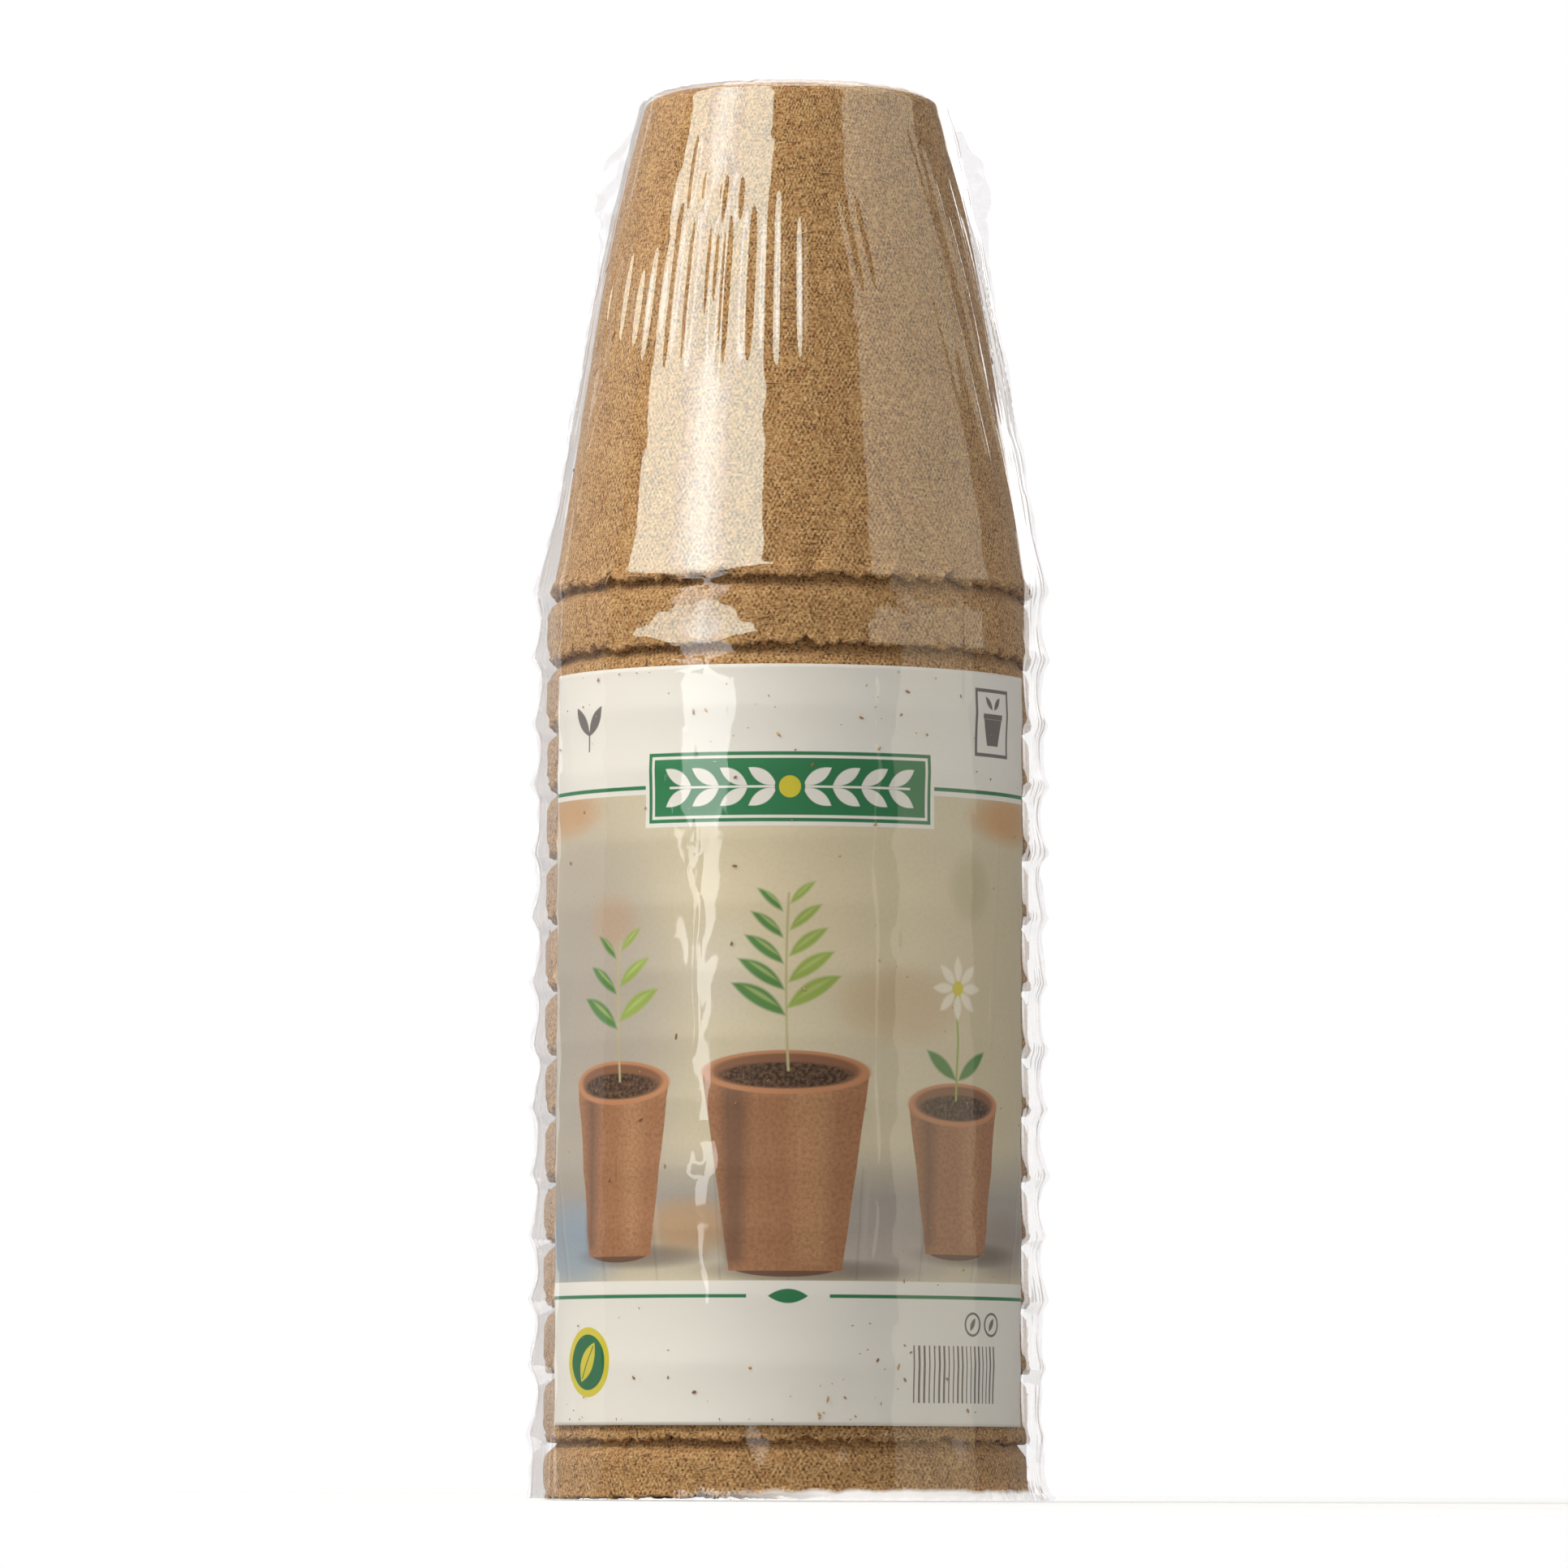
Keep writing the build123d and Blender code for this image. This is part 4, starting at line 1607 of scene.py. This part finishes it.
    def build(self, half: Half, finish: bpy.types.Material) -> bpy.types.Object:
        """Builds one half sheet.

        Args:
            half: Which half sheet.
            finish: The piece's material.

        Returns:
            The piece.
        """
        bm = spun(self.profile(), self.columns, start=half.value, angle=math.pi)
        azimuth, radius, height = to_ring(read_points(bm))
        shoulder_base = self.lips[-1] + self.wall_rows[-1]
        at_side = height <= shoulder_base + 1e-6
        side = self.radius(azimuth, np.minimum(height, shoulder_base))
        grown = side - (self.bend_centre() + self.shoulder)
        reach = np.clip(radius / (self.bend_centre() + self.shoulder), 0, 1)
        radius = np.where(at_side, side, radius + grown * reach**6)
        pleats = SurfaceNoise(15, (12, 60), LEVEL, 24).at(azimuth, 0 * height)
        on_top = smooth(1 - (shoulder_base + self.shoulder - height) / self.shoulder)
        seam = np.exp(-((radius * np.cos(azimuth) / 0.7) ** 2))
        lift = 0.10 * pleats * smooth(radius / 8.0) + 0.35 * seam
        height = np.where(at_side, height, height + on_top * (lift - 0.2))
        write_points(bm, from_ring(azimuth, radius, height))
        face_outwards(bm)
        name = f"film_{half.name.lower()}"
        return finish_piece(name, to_mesh(name, bm), finish, "film", "shrink_film", "film_wrap")


@dataclass
class FilmUnderside:
    """The film turned in under the lowest mouth, gathered in small radial pleats round an open middle."""

    sleeve: FilmSleeve
    top: float
    opening: float = 33.0
    edge: float = 42.0
    pleat: float = 0.055
    ragged: float = 0.5
    rows: int = 12
    steps: int = 480

    def build(self, finish: bpy.types.Material) -> bpy.types.Object:
        """Builds the ring.

        Args:
            finish: The piece's material.

        Returns:
            The piece.
        """
        reach = self.edge - self.opening
        profile = [(self.opening + reach * row / self.rows, self.top) for row in range(self.rows + 1)]
        bm = spun(profile, self.steps)
        azimuth, radius, height = to_ring(read_points(bm))
        share = (radius - self.opening) / reach
        outside = self.sleeve.radius(azimuth, np.full_like(azimuth, self.sleeve.bottom))
        ragged = self.ragged * SurfaceNoise(16, (6, 40), LEVEL).at(azimuth, height)
        radius = self.opening + ragged * (1 - share) + (outside - self.opening) * share
        pleats = SurfaceNoise(17, (70, 150), LEVEL, 18).at(azimuth, height)
        height = height - 0.5 * self.top + self.pleat * pleats * smooth(share / 0.4)
        height += (self.sleeve.bottom - 0.5 * self.top) * smooth((share - 0.9) / 0.1)
        write_points(bm, from_ring(azimuth, radius, np.maximum(height, 0.02)))
        bmesh.ops.recalc_face_normals(bm, faces=bm.faces)
        mesh = to_mesh("film_turned_in", bm)
        return finish_piece("film_turned_in", mesh, finish, "lowest_pot", "shrink_film", "film_underside")


@dataclass
class SideSeam:
    """A welded seam down one side: a narrow crumpled strip that widens to a loose ear near the top.

    Args:
        sleeve: The film it runs along.
        side: Which side it is on.
        top: Height where it ends.
    """

    sleeve: FilmSleeve
    side: Side
    top: float
    ear_width: float = 3.4
    ear_below: float = 9.5
    ear_length: float = 7.5
    strip_width: float = 0.75
    least_width: float = 0.35
    knot_reach: float = 0.8
    rows: int = 620
    columns: int = 6

    def build(self, finish: bpy.types.Material) -> bpy.types.Object:
        """Builds the strip.

        Args:
            finish: The piece's material.

        Returns:
            The piece.
        """
        name = f"seam_{self.side.name.lower()}"
        bm = bmesh.new()
        bmesh.ops.create_grid(bm, x_segments=self.columns, y_segments=self.rows, size=0.5)
        flat = read_points(bm)
        out = flat[:, 0] + 0.5
        height = self.sleeve.bottom + (flat[:, 1] + 0.5) * (self.top - self.sleeve.bottom)
        quarter = np.full_like(out, self.side.value * np.pi / 2)
        root = self.sleeve.radius(quarter, height) - 0.35
        seed = 50 + 10 * self.side.value
        frill = SurfaceNoise(seed, (1, 2), (2.6, 9.0), 24).at(0 * out, height)
        slow = SurfaceNoise(seed + 1, (1, 2), (12.0, 34.0), 12).at(0 * out, height)
        ear = np.exp(-(((self.top - self.ear_below - height) / self.ear_length) ** 2))
        knot = sum(np.exp(-(((height - lip) / self.knot_reach) ** 2)) for lip in self.sleeve.lips)
        width = self.strip_width + 0.3 * slow + 0.12 * frill + 0.15 * knot
        width = np.maximum(width + (self.ear_width + 0.5 * frill) * ear, self.least_width)
        ruffle = SurfaceNoise(seed + 2, (1, 2), (3.5, 12.0), 24).at(2.5 * out, height)
        across = (0.12 + 0.3 * out + 0.5 * ear + 0.3 * knot) * ruffle * smooth(out / 0.4)
        points = np.column_stack((self.side.value * (root + out * width), across, height))
        write_points(bm, points)
        bmesh.ops.recalc_face_normals(bm, faces=bm.faces)
        return finish_piece(name, to_mesh(name, bm), finish, "film", "shrink_film", "side_" + name)


# Studio


@dataclass(frozen=True)
class Card:
    """A curved panel that only mirrored light sees, about the pack's axis.

    Args:
        name: Its name.
        rows: Elevation seen from the middle of the pack, azimuths of both sides and share of the
            radiance, all in degrees but the share, from the lowest row up.
        across: Radiance at equal steps from its first side to its last.
        distance: Its radius in metres.
        colour: Its colour.
        middle: Height in metres that the elevations are measured from.
    """

    name: str
    rows: tuple[tuple[float, float, float, float], ...]
    across: tuple[float, ...]
    distance: float = 1.25
    colour: str = "FFFFFF"
    middle: float = 0.1

    def build(self) -> bpy.types.Object:
        """Builds the panel, with the radiance of each of its points kept on its mesh.

        Returns:
            The panel.
        """
        bm = bmesh.new()
        bmesh.ops.create_grid(bm, x_segments=48, y_segments=64, size=0.5)
        along, up = (read_points(bm)[:, :2] + 0.5).T
        levels, starts, ends, shares = (np.array(column) for column in zip(*self.rows))
        turn = levels[0] + (levels[-1] - levels[0]) * up
        start, end = np.interp(turn, levels, starts), np.interp(turn, levels, ends)
        azimuth = np.radians(start + (end - start) * along)
        height = self.middle + self.distance * np.tan(np.radians(turn))
        write_points(bm, from_ring(azimuth, np.full_like(azimuth, self.distance), height))
        radiance = np.interp(along, np.linspace(0, 1, len(self.across)), self.across)
        mesh = to_mesh(self.name, bm)
        values = mesh.attributes.new("radiance", "FLOAT", "POINT")
        values.data.foreach_set("value", radiance * np.interp(turn, levels, shares))
        material, tree = new_material(self.name)
        strength = add(tree, "Attribute", output="Fac", attribute_name="radiance")
        glow = add(tree, "Emission", {"Color": hex_colour(self.colour), "Strength": strength})
        add_surface(tree, glow)
        mesh.materials.append(material)
        panel = placed(self.name, mesh)
        panel.visible_camera = False
        panel.visible_diffuse = False
        panel.visible_transmission = False
        panel.visible_shadow = False
        return panel


@dataclass(frozen=True)
class Lamp:
    """A square soft lamp that faces the pack's middle and isn't mirrored in the film.

    Args:
        name: Its name.
        azimuth_deg: Where it stands.
        elevation_deg: How high it stands.
        distance: How far away, in metres.
        size: Length of its side, in metres.
        watts: Its power.
        colour: Its colour.
        middle: Height in metres of the point that it faces.
    """

    name: str
    azimuth_deg: float
    elevation_deg: float
    distance: float
    size: float
    watts: float
    colour: str
    middle: float = 0.12

    def build(self) -> bpy.types.Object:
        """Builds the lamp and turns it to the pack.

        Returns:
            The lamp.
        """
        data = bpy.data.lights.new(self.name, "AREA")
        data.energy = self.watts
        data.size = self.size
        data.color = hex_colour(self.colour)[:3]
        lamp = placed(self.name, data)
        turn, rise = math.radians(self.azimuth_deg), math.radians(self.elevation_deg)
        towards = Vector((math.sin(turn) * math.cos(rise), -math.cos(turn) * math.cos(rise), math.sin(rise)))
        lamp.location = Vector((0, 0, self.middle)) + self.distance * towards
        lamp.rotation_euler = (-towards).to_track_quat("-Z", "Y").to_euler()
        lamp.visible_glossy = False
        lamp.visible_transmission = False
        return lamp


@dataclass
class Studio:
    """White table and backdrop, three soft lamps, the panels that the film mirrors, and the camera."""

    white: str = "AAAAA8"
    glow: float = 0.52
    sky: float = 0.55
    table_radius: float = 0.55
    camera_distance: float = 1.62
    camera_height: float = 0.004
    aim_height: float = 0.122
    aside: float = -0.001
    lens: float = 218.6
    roll_deg: float = 0.23
    cards: tuple[Card, ...] = (
        Card("card_main", ((9.5, -53, -35, 0.82), (15, -80, -25, 0.82), (19, -84, -15, 0.96),
                           (21, -84, -8, 0.98), (24, -84, -12.3, 1), (39, -88, -18, 1), (60, -88, -26, 0.9)),
             (4.7, 4.95, 4.65), colour="F3FFF5"),
        Card("card_core", ((9.5, -47, -38, 0.6), (23, -60, -31, 1), (39, -71, -40, 0.84),
                           (60, -74, -46, 0.74)),
             (4.6, 5.7, 7.6, 7.9, 6.3, 4.7), 1.2, "F3FFFF"),
        Card("card_strip", ((4.4, -48, -27, 1), (9.5, -58, -31, 1)), (2.2, 2.2), 1.2),
        Card("card_strip_left", ((1.6, -41.5, -39.5, 1), (4.4, -57, -45, 1)), (2.6, 2.6), 1.2),
        Card("card_strip_right", ((1.6, -39.5, -37, 1), (4.4, -40, -29.5, 1)), (2.6, 2.6), 1.2),
        Card("card_strip_foot", ((-1.4, -41, -38, 1), (1.6, -41.5, -37, 1)), (2.6, 2.6), 1.2),
        Card("card_left", ((-14, -136, -95, 1), (64, -136, -95, 1)), (0.3, 0.3)),
        Card("card_right_dim", ((-14, 91, 146, 1), (64, 91, 146, 1)), (0.16, 0.16), 1.3),
        Card("card_right", ((9.5, 38, 104, 1), (23, 38, 108, 1), (39, 40, 104, 1.4), (60, 40, 104, 1.4)),
             (1.05, 1.05), colour="FFFDEC"),
        Card("card_right_low", ((-6, 50, 98, 1), (9.5, 50, 91, 1)), (0.64, 0.64), 1.2, "FFF4DC"),
        Card("card_side_right", ((-14, 146, 172, 1.22), (9, 146, 172, 1.22), (16, 148, 170, 2.5),
                                 (24, 148, 170, 2.4), (34, 148, 170, 1.7), (60, 148, 170, 1.5)),
             (1.05, 1.05)),
        Card("card_side_left", ((-14, -172, -140, 0.6), (9, -172, -140, 0.6), (16, -172, -140, 0.45),
                                (60, -172, -140, 0.45)), (0.85, 0.85)),
        Card("card_rear", ((-14, 172, 188, 1), (60, 172, 188, 1)), (2.0, 2.0)),
        Card("card_above", ((62, -180, 180, 1), (80, -180, 180, 1)), (3.0, 3.0)),
        Card("wall_dark", ((-14, -136, 146, 1), (64, -136, 146, 1)), (0.02, 0.02), 1.4),
    )
    lamps: tuple[Lamp, ...] = (
        Lamp("lamp_key", -60.0, 42.0, 1.3, 0.6, 14.6, "FFFBF6"),
        Lamp("lamp_fill", 30.0, 24.0, 1.5, 0.9, 2.0, "FFF8EE"),
        Lamp("lamp_back", 190.0, 35.0, 1.5, 0.9, 7.0, "FFFFFF"),
    )

    def build(self) -> None:
        """Builds everything round the pack."""
        self.floor()
        self.world()
        for light in (*self.cards, *self.lamps):
            light.build()
        self.camera()

    def floor(self) -> None:
        """A round white table top that keeps the shadow and is clear from below."""
        bm = bmesh.new()
        bmesh.ops.create_circle(bm, cap_ends=True, segments=96, radius=self.table_radius)
        mesh = to_mesh("floor", bm)
        material, tree = new_material("white_table")
        strength = add(tree, "Math", (seen_or_mirrored(tree), self.glow), operation="MULTIPLY")
        glow = add(tree, "Emission", {"Strength": strength})
        matt = add(tree, "BsdfDiffuse", {"Color": hex_colour(self.white)})
        top = add(tree, "AddShader", (glow, matt))
        below = add(tree, "NewGeometry", output="Backfacing")
        clear = add(tree, "BsdfTransparent")
        add_surface(tree, add(tree, "MixShader", (below, top, clear)))
        mesh.materials.append(material)
        placed("floor", mesh)

    def world(self) -> None:
        """White all round for what the camera, gloss and clear film see, and a plain level of light."""
        world = bpy.data.worlds.new("studio")
        bpy.context.scene.world = world
        world.use_nodes = True
        tree = world.node_tree
        tree.nodes.clear()
        strength = add(tree, "MapRange", {0: seen_or_mirrored(tree), 3: self.sky, 4: 1.0})
        glow = add(tree, "Background", {"Color": hex_colour("FFFFFF"), "Strength": strength})
        output = tree.nodes.new("ShaderNodeOutputWorld")
        tree.links.new(glow, output.inputs["Surface"])

    def camera(self) -> None:
        """A long lens low over the table that looks slightly up at the pack."""
        data = bpy.data.cameras.new("camera")
        data.lens = self.lens
        data.sensor_width = 36.0
        camera = placed("camera", data)
        place = Vector((self.aside, -self.camera_distance, self.camera_height))
        aim = Vector((self.aside, 0.0, self.aim_height))
        camera.location = place
        turned = (aim - place).to_track_quat("-Z", "Y").to_matrix() @ Matrix.Rotation(
            math.radians(self.roll_deg), 3, "Z")
        camera.rotation_euler = turned.to_euler()
        bpy.context.scene.camera = camera


def main() -> None:
    """Builds the whole pack in its studio."""
    logging.basicConfig(level=logging.INFO, format="%(message)s")
    bpy.context.scene.view_settings.view_transform = "Standard"
    pulp = MouldedPulp().build("moulded_pulp")
    straw = StrawFibre().build("straw_fibre")
    mouths = [node_bottom(f"pot_{number:02d}") for number in range(1, POT_COUNT + 1)]
    shown = [0.0] + [above - own for above, own in zip(mouths, mouths[1:])]
    pots = [PulpPot(number, *place) for number, place in enumerate(zip(mouths, shown), start=1)]
    for pot in pots:
        pot.build(pulp)
        LooseFibres(pot, 280 if pot.is_top else 150).build(straw)
    lips = [pot.mouth + 0.6 for pot in reversed(pots)]
    label = PaperLabel(node_bottom("label_sheet"), node_top("label_sheet"), 41.5, lips)
    label.build(PrintedPaper(LabelPrint(label.width, label.top - label.bottom)).build("printed_paper"))
    LabelCrumbs(label).build(straw)
    clear = ShrinkFilm().build("shrink_film")
    welded = WeldedFilm().build("welded_film")
    sleeve = FilmSleeve(pots[0], label, lips, node_bottom("film_wrap"), node_top("film_wrap"))
    for half in Half:
        sleeve.build(half, clear)
    FilmUnderside(sleeve, node_top("film_underside")).build(clear)
    for side in Side:
        SideSeam(sleeve, side, node_top(f"side_seam_{side.name.lower()}")).build(welded)
    Studio().build()


if __name__ == "__main__":
    main()
